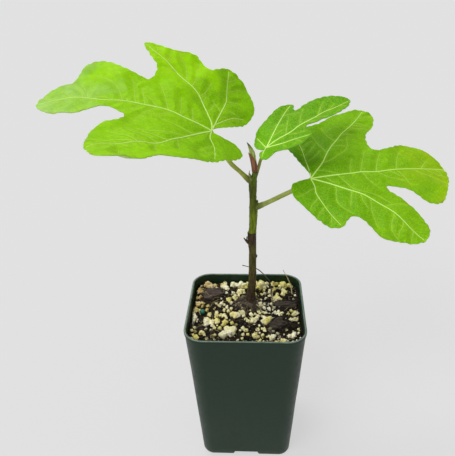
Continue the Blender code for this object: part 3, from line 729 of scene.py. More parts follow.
def bark_chip(x, y, length, width, turn):
    """A chip as the solid has it, split into flaking layers."""
    chip = bmesh.new()
    bmesh.ops.create_cube(chip, size=1.0)
    bmesh.ops.scale(chip, vec=(length, width, BARK_THICKNESS), verts=chip.verts)
    bmesh.ops.bevel(
        chip, geom=chip.edges[:], offset=BARK_THICKNESS / 4, affect="EDGES",
        segments=2, profile=0.5, material=-1,
    )
    bmesh.ops.subdivide_edges(chip, edges=chip.edges[:], cuts=BARK_CUTS, use_grid_fill=True)
    for vert in chip.verts:
        layered = [length / size for length, size in zip(vert.co, LAYER_SIZE)]
        flaked = [length / size for length, size in zip(vert.co, FLAKE_SIZE)]
        layer = noise.noise(Vector((layered[0], layered[1], layered[2] + turn)))
        flake = noise.noise(Vector((flaked[0], flaked[1], flaked[2] - turn)))
        torn = noise.noise_vector(Vector((vert.co.x / TEAR_SIZE, vert.co.y / TEAR_SIZE, turn)))
        vert.co += vert.co.normalized() * (LAYER_STAND * layer + FLAKE_STAND * flake)
        vert.co += Vector((torn.x, torn.y, torn.z * TEAR_LIFT)) * TEAR_REACH
    tilt = Euler([math.radians(angle) for angle in (*BARK_TILT, turn)]).to_matrix()
    bmesh.ops.rotate(chip, matrix=tilt, verts=chip.verts)
    bmesh.ops.translate(chip, vec=(x, y, mix_height(x, y)), verts=chip.verts)
    return chip


def composted_bark():
    """Composted pine bark: corky and fully matte, grey-brown with dark seams between its layers,
    which tells it from the finer black peat around it."""
    made, tree, shader = new_material("composted_bark")
    place = add_node(tree, "TexCoord", {}).outputs["Object"]
    laid = add_node(tree, "Mapping", {"Vector": place, "Scale": (0.35, 1.6, 2.2)})
    layers = add_node(tree, "TexNoise", {"Vector": laid, "Scale": per_metre(2.2), "Detail": 7.0})
    share = add_node(tree, "MapRange", {"Value": layers, "From Min": 0.35, "From Max": 0.7})
    colour = add_node(tree, "MixRGB", {
        "Fac": share, "Color1": linear("17110F"), "Color2": linear("53453B"),
    })
    bump = add_node(tree, "Bump", {"Strength": 0.8, "Distance": 0.3 * METRES, "Height": layers})
    set_inputs(tree, shader, {"Base Color": colour, "Normal": bump, "Roughness": 0.9})
    return made


def dry_fibre(name, pale, dark):
    """Dead plant fibre: dry and slightly silky along its length, blotched from pale to dark, so
    that single strands stand out from the mix without shining."""
    made, tree, shader = new_material(name)
    place = add_node(tree, "TexCoord", {}).outputs["Object"]
    blotches = add_node(tree, "TexNoise", {"Vector": place, "Scale": per_metre(2.8), "Detail": 4.0})
    share = add_node(tree, "MapRange", {"Value": blotches, "From Min": 0.35, "From Max": 0.65})
    colour = add_node(tree, "MixRGB", {"Fac": share, "Color1": linear(pale), "Color2": linear(dark)})
    set_inputs(tree, shader, {"Base Color": colour, "Roughness": 0.7})
    return made


def resin_coat():
    """The feed bead's resin coat: smooth and fairly glossy teal, a single small highlight."""
    made, tree, shader = new_material("resin_coat")
    set_inputs(tree, shader, {"Base Color": linear("1F6F5C"), "Roughness": 0.3})
    return made


def make_bark():
    """The chips of the solid, and loose crumbs of peat and bark."""
    shape = random.Random(SEED + 1)
    bark = bmesh.new()
    for chip in BARK_CHIPS:
        add_to(bark, bark_chip(*chip))
    for face in bark.faces:
        face.material_index = 1
    for place in scattered(CRUMBS, shape, CRUMB_STAND):
        crumb = rough_grain(mostly_small(CRUMB_SIZES, 2, shape), shape)
        bmesh.ops.translate(crumb, vec=place, verts=crumb.verts)
        kind = int(shape.random() < BARK_CRUMB_SHARE)
        for face in crumb.faces:
            face.material_index = kind
        add_to(bark, crumb)
    return bark


def wandering(place, heading, pace, radius, shape):
    """A strand that wanders over the mix from a place, arching a little above it."""
    path = []
    for step in range(FIBRE_STEPS):
        arch = math.sin(math.pi * step / (FIBRE_STEPS - 1))
        height = mix_height(place.x, place.y) + shape.uniform(*FIBRE_STAND) + arch * pace * FIBRE_ARCH
        path.append((place.x, place.y, height, radius * (1 - FIBRE_TAPER + FIBRE_TAPER * arch)))
        heading += shape.uniform(-FIBRE_WANDER, FIBRE_WANDER)
        ahead = place.to_2d() + Vector((math.cos(heading), math.sin(heading))) * pace
        place = Vector(keep_inside(*ahead, EDGE_MARGIN))
    return [tuple(point) for point in smooth(path, 4)]


def make_fibres():
    """Pale strands over the whole mix, and darker roots that leave the stem's mound."""
    shape = random.Random(SEED + 2)
    pale = []
    for place in scattered(FIBRES, shape, 0.0):
        radius = shape.uniform(*FIBRE_RADII)
        heading = shape.uniform(0, math.tau)
        pale.append(wandering(place, heading, shape.uniform(*FIBRE_PACES), radius, shape))
    dark = []
    for _ in range(CROWN_ROOTS):
        around = shape.uniform(0, math.tau)
        centre = STEM_FOOT.lerp(CROWN, shape.random())
        start = centre + Vector((math.cos(around), math.sin(around))) * shape.uniform(*ROOT_REACH)
        heading = around + shape.uniform(-ROOT_SPLAY, ROOT_SPLAY)
        pace = shape.uniform(*ROOT_PACES)
        dark.append(wandering(start, heading, pace, shape.uniform(*ROOT_RADII), shape))
    strands = tubes(pale, 0)
    add_to(strands, tubes([smooth(path, 8) for path in (UPRIGHT_STRAW_PATH, LEANING_STRAW_PATH)], 4))
    roots = tubes(dark, 1)
    add_to(roots, tubes([smooth(LOOSE_ROOT_PATH, 10)], 4))
    for face in roots.faces:
        face.material_index = 1
    add_to(strands, roots)
    return strands


def make_bead():
    """The bead, where the solid has it."""
    bead = bmesh.new()
    bmesh.ops.create_icosphere(bead, subdivisions=4, radius=BEAD[2] / 2)
    place = (*BEAD[:2], mix_height(*BEAD[:2]) + BEAD_STAND)
    bmesh.ops.translate(bead, vec=place, verts=bead.verts)
    return bead


bark_pieces = add_piece("mix_bark_and_crumbs", make_bark(), [PEAT, composted_bark()])
STRAW = dry_fibre("dry_straw", "C9B98A", "6E5D3C")
ROOT = dry_fibre("fine_root_skin", "6E5F4C", "32291F")
strand_pieces = add_piece("mix_fibres", make_fibres(), [STRAW, ROOT])
feed_bead = add_piece("mix_feed_bead", make_bead(), [resin_coat()])
for loose in (bark_pieces, strand_pieces, feed_bead):
    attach(loose, "root")
    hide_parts("potting_mix")

# The stem
# A woody cutting pushed into the mix, with this year's green shoot above a band of old brown bark.
# Ring scars mark its joints, and a dead forked stub stands at its left.
HOLE_DEPTH = 24.0
BURIED_RADIUS = 2.4
STEM_PATH = (
    (2.6, 8.5, 85.5, 2.9), (2.8, 8.5, 90.0, 2.45), (3.5, 8.5, 100.0, 2.15), (3.7, 8.5, 117.0, 1.95),
    (3.5, 8.5, 122.5, 2.2), (3.5, 8.5, 129.0, 2.1), (3.9, 8.5, 134.0, 1.95), (4.2, 8.5, 143.0, 2.2),
    (4.0, 8.5, 149.0, 1.8), (3.9, 8.5, 157.5, 2.05), (4.6, 8.5, 161.0, 1.45), (5.0, 8.5, 163.5, 1.3),
)
TWIG_PATHS = (
    ((2.9, 8.4, 122.0, 0.7), (1.0, 7.9, 123.8, 0.6), (-0.9, 7.6, 126.6, 0.3)),
    ((1.4, 8.0, 123.4, 0.5), (0.7, 7.9, 125.2, 0.4), (0.8, 7.8, 127.4, 0.25)),
    ((5.0, 8.0, 145.0, 0.8), (6.0, 7.7, 147.2, 0.7), (6.2, 7.6, 148.8, 0.2)),
    ((3.6, 8.0, 159.6, 0.9), (2.7, 7.6, 161.6, 0.7), (2.4, 7.5, 163.2, 0.2)),
)
STIPULE_SLIVER = (
    (3.1, 7.2, 159.6, 0.4), (2.3, 6.9, 161.8, 0.42), (2.1, 6.8, 163.6, 0.3), (2.4, 6.9, 165.2, 0.08),
)
RING_SCARS = (92.5, 97.0, 104.5, 111.0, 115.5, 134.5, 139.0, 144.0, 150.0, 153.5, 158.5, 161.2)
SCAR_WIDTH = 0.35
SCAR_HEIGHT = 0.14
SCAR_WANDER = 0.35  # how far a scar rises and falls on its way round
SCAR_WAVES = 1.3
SCAR_CHANGE = 9.0  # up the stem, from one scar's waves to other ones
BAND = (122.5, 129.7)  # old bark left round the joint of the shoot
BAND_HEIGHT = 0.16
BAND_FLAKING = 0.6
BAND_SIDES = (1.4, 0.9)  # it stands highest at the left: its middle, and the change to each side
KNOB = (115.0, 1.1, 0.7)  # a dormant bud at the right: its height, spread and stand
RIDGE_HEIGHT = 0.11
RIDGE_LENGTH = 5.0
RIDGES = 2.6  # how closely they stand round the stem
LENTICEL_WIDTH = 1.5
LENTICEL_HEIGHT = 0.09
LENTICEL_REACH = 0.28
LENTICEL_LENGTH = 1.4  # up the stem, against its width
STEM_RADIUS = 2.1
TWIG_GRAIN = (0.9, 0.08)  # its spread and its depth
PLAIN_BELOW = STEM_PATH[0][2] - 2  # the bark's relief starts just under the top of the mix
PLAIN_MIDDLE = 0.2  # and no relief is drawn on the ends, this near to the stem's middle


def make_stem():
    """The stem with its ridges, scars and band, and the stub and axil buds rooted in it."""
    foot = (*STEM_FOOT, STEM_PATH[0][2] - HOLE_DEPTH, BURIED_RADIUS)
    course = smooth((foot, *STEM_PATH), 22)
    stem = tubes([course], 20)
    heights = [point.z for point in course]
    for vert in stem.verts:
        x = np.interp(vert.co.z, heights, [point.x for point in course])
        out = Vector((vert.co.x - x, vert.co.y - STEM_FOOT.y, 0.0))
        if out.length < PLAIN_MIDDLE or vert.co.z < PLAIN_BELOW:
            continue
        out.normalize()
        z = vert.co.z
        turned = Vector((out.x * RIDGES, out.y * RIDGES, z / RIDGE_LENGTH))
        rise = RIDGE_HEIGHT * noise.noise(turned)
        tilt = z + SCAR_WANDER * noise.noise(Vector((out.x, out.y, z / SCAR_CHANGE)) * SCAR_WAVES)
        for scar in RING_SCARS:
            rise += SCAR_HEIGHT * math.exp(-((tilt - scar) / SCAR_WIDTH) ** 2)
        if BAND[0] < tilt < BAND[1]:
            peeling = (tilt - BAND[0]) / (BAND[1] - BAND[0])
            flaking = 1 + BAND_FLAKING * noise.noise(turned * 2)
            rise += BAND_HEIGHT * peeling * flaking * (BAND_SIDES[0] - BAND_SIDES[1] * out.x)
        knob = out.x * math.exp(-((z - KNOB[0]) / KNOB[1]) ** 2) if out.x > 0 else 0.0
        rise += KNOB[2] * knob ** 3
        skin = Vector((out.x * STEM_RADIUS, out.y * STEM_RADIUS, z / LENTICEL_LENGTH))
        spot = noise.voronoi(skin / LENTICEL_WIDTH)[0][0]
        rise += LENTICEL_HEIGHT * max(0.0, 1 - spot / LENTICEL_REACH)
        vert.co += out * rise
    for path in TWIG_PATHS:
        twig = tubes([smooth(path, 8)], 4)
        for vert in twig.verts:
            vert.co += noise.noise_vector(vert.co / TWIG_GRAIN[0]) * TWIG_GRAIN[1]
        add_to(stem, twig)
    return stem


def fig_bark():
    """Young fig bark: a matte skin whose colour tells its age, purplish brown at the soil, olive
    brown above, grey-brown on the old band and green on this year's shoot, with pale lenticels."""
    ZONES = (
        (0.0, 0.1, "4A382C"), (94.0, 4.0, "574A2A"), (104.0, 6.0, "5B5526"), (BAND[0] + 1, 1.8, "4A3A26"),
        (BAND[1], 0.25, "768816"), (143.0, 3.0, "5A6617"), (158.0, 2.0, "5C761A"),
    )
    made, tree, shader = new_material("fig_bark")
    place = add_node(tree, "TexCoord", {}).outputs["Object"]
    height = add_node(tree, "SeparateXYZ", {"Vector": place}).outputs["Z"]
    warp = add_node(tree, "TexNoise", {"Vector": place, "Scale": per_metre(2.4), "Detail": 4.0})
    shift = add_node(tree, "MapRange", {"Value": warp, "To Min": -1.6 * METRES, "To Max": 1.6 * METRES})
    warped = add_node(tree, "Math", {0: height, 1: shift}, operation="ADD")
    colour = linear(ZONES[0][2])
    for start, softness, code in ZONES[1:]:
        share = add_node(tree, "MapRange", {
            "Value": warped,
            "From Min": (start - softness) * METRES, "From Max": (start + softness) * METRES,
        })
        colour = add_node(tree, "MixRGB", {"Fac": share, "Color1": colour, "Color2": linear(code)})
    stretched = add_node(tree, "Mapping", {"Vector": place, "Scale": (1.0, 1.0, 0.2)})
    streaks = add_node(tree, "TexNoise", {"Vector": stretched, "Scale": per_metre(0.9), "Detail": 5.0})
    dark = add_node(tree, "MapRange", {
        "Value": streaks, "From Min": 0.35, "From Max": 0.7, "To Min": 0.45, "To Max": 1.25,
    })
    streaked = add_node(tree, "MixRGB", {
        "Fac": 1.0, "Color1": colour, "Color2": dark,
    }, blend_type="MULTIPLY")
    spots = add_node(tree, "TexVoronoi", {"Vector": place, "Scale": per_metre(1.3)})
    pale = add_node(tree, "MapRange", {
        "Value": spots, "From Min": 0.2, "From Max": 0.1, "To Max": 0.15,
    })
    speckled = add_node(tree, "MixRGB", {"Fac": pale, "Color1": streaked, "Color2": linear("A39F72")})
    bump = add_node(tree, "Bump", {"Strength": 0.5, "Distance": 0.12 * METRES, "Height": streaks})
    set_inputs(tree, shader, {
        "Base Color": speckled, "Normal": bump, "Roughness": 0.62, "Specular IOR Level": 0.2,
    })
    return made


stem = add_piece("stem_and_buds", make_stem(), [fig_bark()])
sliver = add_piece("dry_sliver", tubes([smooth(STIPULE_SLIVER, 6)], 2), [STRAW])
for wood in (stem, sliver):
    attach(wood, "root")
    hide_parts("stem")

# The left leaf
# The largest leaf, on the longest stalk: three broad lobes with rounded teeth, the front one bent
# down over the pot. Pale main veins fan out from the stalk, and the blade bulges between them.
LAMINA = 0.4
BLADE_CELL = 0.44
TOOTH_PITCH = 3.9
TOOTH_DEPTH = (0.1, 0.65)
POINTS_PER_TOOTH = 10
TOOTH_START = 12.0
EDGE_INSET = 0.2
WAVE_LENGTH = 26.0
WAVE_HEIGHT = 0.8
WAVE_START = 18.0
WAVE_SKEW = 0.75  # waves across the blade, for each one along it
MAP_WIDTH = 100.0  # millimetres of the flat blade in one unit of its map
UNDER_FACING = -0.3  # a point whose normal lies below this is on the underside
STALK_SEAT = 0.75  # how deep a stalk's middle lies under the blade, in radii
STALK_GRAIN = (2.2, 0.07)
QUILT_HEIGHT = 0.85  # how far the blade bulges between the larger veins
QUILT_REACH = 3.0
PUCKER_HEIGHT = 0.08  # and between the finest ones
PUCKER_REACH = 1.0
VEIN_RISE = 0.04  # how far a vein's widest line stands above the blade
VEIN_STEP = 0.8
MARGIN_GAP = 0.9  # where a vein fades out before the edge
JOINT_REACH = 4.0  # the blade's edge runs close to the veins within this distance of the stalk
BRANCH_START = 6.5  # and no vein branches within this one
MAIN_VEIN = (0.4, 0.14)  # radii at its two ends
STRONG_MAINS = 3  # the midrib and one vein to each side lobe: the main veins after them are thinner
BASAL_VEIN = (0.28, 0.12)
SIDE_VEIN = (0.2, 0.1)
NET_VEIN = (0.12, 0.1)
RIB_HEIGHT = (0.65, 0.55, 0.35)  # above the widest line, as a share of the radius
RIB_DEPTH = 2.0  # and below it: the larger veins stand out of the underside
RIB_PALENESS = (0.95, 0.28, 0.1)  # of the main, side and finest veins
SIDE_SPACING = 6.5
SIDE_ANGLE = 52.0
SIDE_CURL = 0.022  # radians that a side vein turns to the tip in each millimetre
SIDE_LONGEST = 34.0
SIDE_JOIN = 1.6  # how near a growing vein comes to another before they meet
BASAL_LONGEST = 12.0
NET_SPACING = 2.6
NET_ANGLE = 78.0
NET_LONGEST = 6.5
NET_JOIN = 0.8
BRANCH_SHIFT = 0.3  # of a spacing
ANGLE_SPREAD = 7.0
CURL_SPREAD = 0.01
WANDER = 0.16  # radians that a vein strays at each step


class Leaf:
    """One leaf: where its blade starts, how it lies, its outline, veins and stalk."""

    def __init__(self, joint, length, heading, rise, droop, roll, cup, outline, stalk, mains, sides):
        self.joint = Vector(joint)
        self.heading = math.radians(heading)
        self.rise = math.radians(rise)
        self.bend = math.radians(droop) / length
        self.roll = math.radians(roll)
        self.cup = cup
        self.outline = outline
        self.stalk = stalk
        self.mains = mains
        self.sides = sides

    def place(self, flat):
        """Points in space for rows of (distance along the midrib, to its left, above the blade)."""
        along, across, lift = np.asarray(flat, dtype=float).T[:, :, None]
        slope = self.rise - self.bend * along
        ahead = np.array((math.cos(self.heading), math.sin(self.heading), 0.0))
        left = np.array((-math.sin(self.heading), math.cos(self.heading), 0.0))
        up = np.array((0.0, 0.0, 1.0))
        above = up * np.cos(slope) - ahead * np.sin(slope)
        side = left * math.cos(self.roll) + above * math.sin(self.roll)
        normal = above * math.cos(self.roll) - left * math.sin(self.roll)
        forward = (math.sin(self.rise) - np.sin(slope)) / self.bend
        upward = (np.cos(slope) - math.cos(self.rise)) / self.bend
        turn = self.cup * across
        growth = np.minimum(1.0, (across / WAVE_START) ** 2)
        turns = math.tau / WAVE_LENGTH
        wave = WAVE_HEIGHT * growth * np.sin(along * turns) * np.cos(across * turns * WAVE_SKEW)
        middle = np.array(self.joint) + ahead * forward + up * upward
        curled = side * (np.sin(turn) / self.cup) + normal * ((np.cos(turn) - 1) / self.cup)
        facing = normal * np.cos(turn) + side * np.sin(turn)
        return middle + curled + facing * (lift + wave)


def length_of(curve):
    """The length of a polyline."""
    return sum((end - start).length for start, end in zip(curve, curve[1:]))


def evenly(curve, count):
    """Equal steps along a polyline, each as a point and the direction there."""
    lengths = [0.0]
    for start, end in zip(curve, curve[1:]):
        lengths.append(lengths[-1] + (end - start).length)
    steps = []
    span = 0
    for index in range(count + 1):
        wanted = lengths[-1] * index / count
        while span < len(curve) - 2 and lengths[span + 1] < wanted:
            span += 1
        along = (curve[span + 1] - curve[span]).normalized()
        steps.append((curve[span] + along * (wanted - lengths[span]), along))
    return steps


def toothed(outline, shape):
    """The leaf's margin: a smooth curve with rounded teeth of uneven depth."""
    curve = smooth(outline, 8, closed=True)
    curve.append(curve[0])
    length = length_of(curve)
    teeth = round(length / TOOTH_PITCH)
    depths = [shape.uniform(*TOOTH_DEPTH) for _ in range(teeth + 1)]
    margin = []
    for index, (place, along) in enumerate(evenly(curve, teeth * POINTS_PER_TOOTH)[:-1]):
        phase = index / POINTS_PER_TOOTH
        notch = 1 - abs(math.sin(math.pi * phase))
        growth = min(1.0, place.length / TOOTH_START)
        depth = depths[round(phase)] * notch * growth
        margin.append(place - Vector((along.y, -along.x)) * (EDGE_INSET + depth))
    return margin


class VeinNet:
    """The veins of one flat blade, and a lookup of those that pass near a point."""

    CELL = 1.7

    def __init__(self, margin):
        self.edge = KDTree(len(margin))
        for index, point in enumerate(margin):
            self.edge.insert(point.to_3d(), index)
        self.edge.balance()
        self.veins = []
        self.cells = {}

    def add(self, points, radii):
        """Keeps a vein, and enters its points in the lookup."""
        for point in points:
            key = (round(point.x / self.CELL), round(point.y / self.CELL))
            self.cells.setdefault(key, []).append((point, len(self.veins)))
        self.veins.append((points, radii))

    def nearest(self, point, reach, ignored):
        """The closest point of any vein but the ignored one, within a reach."""
        column, row = round(point.x / self.CELL), round(point.y / self.CELL)
        best = None
        for i in (column - 1, column, column + 1):
            for j in (row - 1, row, row + 1):
                for other, vein in self.cells.get((i, j), ()):
                    if vein != ignored and (other - point).length < reach:
                        best, reach = other, (other - point).length
        return best

    def grow(self, parent, start, heading, curl, longest, join, shape):
        """A vein out from its parent until it meets another, the margin or its longest."""
        points = [start]
        while len(points) * VEIN_STEP < longest:
            heading = heading.copy()
            stray = shape.uniform(-WANDER, WANDER)
            heading.rotate(Matrix.Rotation(curl * VEIN_STEP + stray, 2))
            ahead = points[-1] + heading * VEIN_STEP
            if self.edge.find(ahead.to_3d())[2] < MARGIN_GAP:
                return points
            met = self.nearest(ahead, join, parent if len(points) < 4 else -1)
            if met is not None and len(points) > 1:
                return [*points, met]
            points.append(ahead)
        return points

    def branch(self, parents, spacing, angle, curl, longest, join, radii, shape):
        """Grows veins from both sides of each parent at a spacing."""
        for parent in parents:
            curve = self.veins[parent][0]
            length = length_of(curve)
            for place, along in evenly(curve, max(1, round(length / spacing)))[1:-1]:
                if place.length < BRANCH_START:
                    continue
                for hand in (-1, 1):
                    start = place + along * shape.uniform(-BRANCH_SHIFT, BRANCH_SHIFT) * spacing
                    if self.nearest(start + Vector((-along.y, along.x)) * hand * join, join, parent):
                        continue
                    heading = along.copy()
                    turn = math.radians(angle + shape.uniform(-ANGLE_SPREAD, ANGLE_SPREAD)) * hand
                    heading.rotate(Matrix.Rotation(turn, 2))
                    bend = -hand * curl + shape.uniform(-CURL_SPREAD, CURL_SPREAD)
                    grown = self.grow(parent, place, heading, bend, longest, join, shape)
                    if len(grown) > 2:
                        self.add(grown, radii)


def vein_net(leaf, margin, shape):
    """The main veins and side veins seen in the blade, and finer ones grown between them."""
    net = VeinNet(margin)
    for paths, radii in (
        (leaf.mains[:STRONG_MAINS], MAIN_VEIN),
        (leaf.mains[STRONG_MAINS:], BASAL_VEIN),
        (leaf.sides, SIDE_VEIN),
    ):
        for path in paths:
            curve = smooth(path, 6)
            length = length_of(curve)
            steps = evenly(curve, max(2, round(length / VEIN_STEP)))
            net.add([
                point for point, _ in steps
                if net.edge.find(point.to_3d())[2] > MARGIN_GAP or point.length < JOINT_REACH
            ], radii)
    strong = range(STRONG_MAINS)
    basal = range(STRONG_MAINS, len(leaf.mains))
    net.branch(strong, SIDE_SPACING, SIDE_ANGLE, SIDE_CURL, SIDE_LONGEST, SIDE_JOIN, SIDE_VEIN, shape)
    net.branch(basal, SIDE_SPACING, SIDE_ANGLE, 0.0, BASAL_LONGEST, SIDE_JOIN, SIDE_VEIN, shape)
    net.larger = len(net.veins)
    every = range(net.larger)
    net.branch(every, NET_SPACING, NET_ANGLE, 0.0, NET_LONGEST, NET_JOIN, NET_VEIN, shape)
    return net


def tree_of(veins):
    """A lookup of the nearest point on any of some veins."""
    points = [point for vein, _ in veins for point in vein]
    tree = KDTree(len(points))
    for index, point in enumerate(points):
        tree.insert(point.to_3d(), index)
    tree.balance()
    return tree


def make_blade(name, leaf, materials):
    """A blade with its veins standing out of both faces, laid out flat and then bent to shape."""
    shape = random.Random(SEED + len(leaf.outline))
    margin = toothed(leaf.outline, shape)
    net = vein_net(leaf, margin, shape)
    larger = tree_of(net.veins[:net.larger])
    finer = tree_of(net.veins[net.larger:])

    def quilt(point):
        """The bulge of the blade at a point, away from the larger veins."""
        distance = larger.find((point.x, point.y, 0.0))[2]
        return QUILT_HEIGHT * (1 - math.exp(-(distance / QUILT_REACH) ** 2))

    build = bmesh.new()
    build.faces.new([build.verts.new(point.to_3d()) for point in margin])
    for axis in (0, 1):
        reach = [vert.co[axis] for vert in build.verts]
        slice_faces(build, build.faces[:], axis, min(reach), max(reach), BLADE_CELL)
    bmesh.ops.solidify(build, geom=build.faces[:], thickness=LAMINA)
    for vert in build.verts:
        flat = (vert.co.x, vert.co.y, 0.0)
        gap = min(finer.find(flat)[2], larger.find(flat)[2])
        vert.co.z += quilt(vert.co) + PUCKER_HEIGHT * (1 - math.exp(-(gap / PUCKER_REACH) ** 2))
    mains = len(leaf.mains)
    rib = [0.0] * len(build.verts)
    ranks = (net.veins[:mains], net.veins[mains:net.larger], net.veins[net.larger:])
    for veins, rounding, height, paleness in zip(ranks, (2, 1, 0), RIB_HEIGHT, RIB_PALENESS):
        paths = []
        for points, (thick, thin) in veins:
            fade = (thin - thick) / (len(points) - 1)
            paths.append([(*point, 0.0, thick + fade * index) for index, point in enumerate(points)])
        ribs = tubes(paths, rounding)
        for vert in ribs.verts:
            rise = vert.co.z * (height if vert.co.z > 0 else RIB_DEPTH)
            vert.co.z = quilt(vert.co) + VEIN_RISE + rise
        rib += [paleness] * len(ribs.verts)
        add_to(build, ribs)
    flat = np.array([vert.co for vert in build.verts])
    under = [float(vert.normal.z < UNDER_FACING) for vert in build.verts]
    edge = [net.edge.find((vert.co.x, vert.co.y, 0.0))[2] for vert in build.verts]
    vein = [larger.find((vert.co.x, vert.co.y, 0.0))[2] for vert in build.verts]
    for vert, point in zip(build.verts, leaf.place(flat)):
        vert.co = point
    blade = add_piece(name, build, materials)
    mesh = blade.data
    for label, values in (("under", under), ("edge", edge), ("vein", vein), ("rib", rib)):
        mesh.attributes.new(label, "FLOAT", "POINT").data.foreach_set("value", values)
    corners = np.empty(len(mesh.loops), dtype=int)
    mesh.loops.foreach_get("vertex_index", corners)
    mesh.uv_layers.new(name="flat").uv.foreach_set("vector", (flat[corners, :2] / MAP_WIDTH).ravel())
    return blade


def make_stalk(leaf):
    """The stalk from inside the stem to the blade, swollen a little near the stem."""
    radius = leaf.stalk[-1][3]
    seat = leaf.place([(0.0, 0.0, -STALK_SEAT * radius)])[0]
    course = smooth((*leaf.stalk, (*seat, radius)), 18)
    stalk = tubes([course], 12)
    for vert in stalk.verts:
        vert.co += noise.noise_vector(vert.co / STALK_GRAIN[0]) * STALK_GRAIN[1]
    return stalk


def leaf_skin(name, tones_and_painted_light, under, stain):
    """The upper skin of a fig leaf: waxy enough for a soft broad sheen over the bulges, bright
    yellow-green with a paler net of the finest veins, and paler and duller underneath."""
    made, tree, shader = new_material(name)
    flat = add_node(tree, "UVMap", {}, uv_map="flat").outputs["UV"]
    near_vein = add_node(tree, "Attribute", {}, attribute_name="vein").outputs["Fac"]
    near_edge = add_node(tree, "Attribute", {}, attribute_name="edge").outputs["Fac"]
    below = add_node(tree, "Attribute", {}, attribute_name="under").outputs["Fac"]
    clouds = add_node(tree, "TexNoise", {"Vector": flat, "Scale": MAP_WIDTH / 16, "Detail": 3.0})
    axes = add_node(tree, "SeparateXYZ", {"Vector": flat})
    stray = add_node(tree, "MapRange", {
        "Value": clouds, "From Min": 0.3, "From Max": 0.7, "To Min": -0.14, "To Max": 0.14,
    })
    strayed = [
        add_node(tree, "Math", {0: axes.outputs[axis], 1: stray}, operation="ADD") for axis in "XY"
    ]
    # Bands of colour along and across the flat blade: the leaf's own tone, and in places painted light
    # and shade, as each leaf's table notes.
    colour = linear(tones_and_painted_light[0][3])
    for axis, start, end, code in tones_and_painted_light[1:]:
        age = add_node(tree, "MapRange", {
            "Value": strayed[axis], "From Min": start / MAP_WIDTH, "From Max": end / MAP_WIDTH,
        })
        colour = add_node(tree, "MixRGB", {"Fac": age, "Color1": colour, "Color2": linear(code)})
    beside = add_node(tree, "MapRange", {
        "Value": near_vein, "From Min": 1.4, "From Max": 0.3, "To Max": 0.2,
    })
    veined = add_node(tree, "MixRGB", {"Fac": beside, "Color1": colour, "Color2": linear("ACD830")})
    bent = add_node(tree, "TexNoise", {"Vector": flat, "Scale": MAP_WIDTH / 1.5, "Detail": 1.0})
    bending = add_node(tree, "VectorMath", {
        0: bent.outputs["Color"], 1: (0.006, 0.006, 0.0), 2: flat,
    }, operation="MULTIPLY_ADD")
    net = add_node(tree, "TexVoronoi", {
        "Vector": bending, "Scale": MAP_WIDTH / 1.1,
    }, feature="DISTANCE_TO_EDGE")
    line = add_node(tree, "MapRange", {"Value": net, "From Min": 0.12, "From Max": 0.03, "To Max": 0.3})
    netted = add_node(tree, "MixRGB", {"Fac": line, "Color1": veined, "Color2": linear("ACDC20")})
    puckers = add_node(tree, "TexNoise", {
        "Vector": flat, "Scale": MAP_WIDTH / 3.2, "Detail": 4.0, "Roughness": 0.6,
    })
    tone = add_node(tree, "MapRange", {
        "Value": puckers, "From Min": 0.35, "From Max": 0.65, "To Min": 0.92, "To Max": 1.07,
    })
    mottled = add_node(tree, "MixRGB", {
        "Fac": 1.0, "Color1": netted, "Color2": tone,
    }, blend_type="MULTIPLY")
    rim = add_node(tree, "MapRange", {"Value": near_edge, "From Min": 1.4, "From Max": 0.2})
    patches = add_node(tree, "TexNoise", {"Vector": flat, "Scale": MAP_WIDTH / 7, "Detail": 2.0})
    where = add_node(tree, "MapRange", {
        "Value": patches, "From Min": 0.55, "From Max": 0.7, "To Max": 0.35,
    })
    blush = add_node(tree, "Math", {0: rim, 1: where}, operation="MULTIPLY")
    edged = add_node(tree, "MixRGB", {"Fac": blush, "Color1": mottled, "Color2": linear(stain)})
    colour = add_node(tree, "MixRGB", {"Fac": below, "Color1": edged, "Color2": linear(under)})
    rib = add_node(tree, "Attribute", {}, attribute_name="rib").outputs["Fac"]
    ribbed = add_node(tree, "MixRGB", {"Fac": rib, "Color1": colour, "Color2": linear("CCF682")})
    bump = add_node(tree, "Bump", {"Strength": 0.5, "Distance": 0.12 * METRES, "Height": net})
    set_inputs(tree, shader, {
        "Base Color": ribbed, "Normal": bump, "Roughness": 0.5, "Specular IOR Level": 0.06,
        "Subsurface Weight": 0.35, "Subsurface Scale": 0.7 * METRES,
        "Subsurface Radius": (0.8, 1.0, 0.3),
    })
    return made


def stalk_skin(name, joint, upper, lower):
    """The smooth skin of a leaf stalk: satin, yellow-green, darker in fine lengthwise streaks,
    so that it reads as soft and juicy beside the matte bark."""
    made, tree, shader = new_material(name)
    place = add_node(tree, "TexCoord", {}).outputs["Object"]
    streaks = add_node(tree, "TexNoise", {"Vector": place, "Scale": per_metre(2.4), "Detail": 5.0})
    share = add_node(tree, "MapRange", {"Value": streaks, "From Min": 0.35, "From Max": 0.65})
    skin = add_node(tree, "MixRGB", {"Fac": share, "Color1": linear(upper), "Color2": linear(lower)})
    foot = [length * METRES for length in joint[:3]]
    away = add_node(tree, "VectorMath", {0: place, 1: foot}, operation="DISTANCE")
    collar = add_node(tree, "MapRange", {
        "Value": away.outputs["Value"], "From Min": 4.5 * METRES, "From Max": 1.5 * METRES, "To Max": 0.9,
    })
    colour = add_node(tree, "MixRGB", {"Fac": collar, "Color1": skin, "Color2": linear("56661A")})
    set_inputs(tree, shader, {
        "Base Color": colour, "Roughness": 0.42, "Specular IOR Level": 0.3, "Subsurface Weight": 0.1,
        "Subsurface Scale": 0.8 * METRES,
    })
    return made


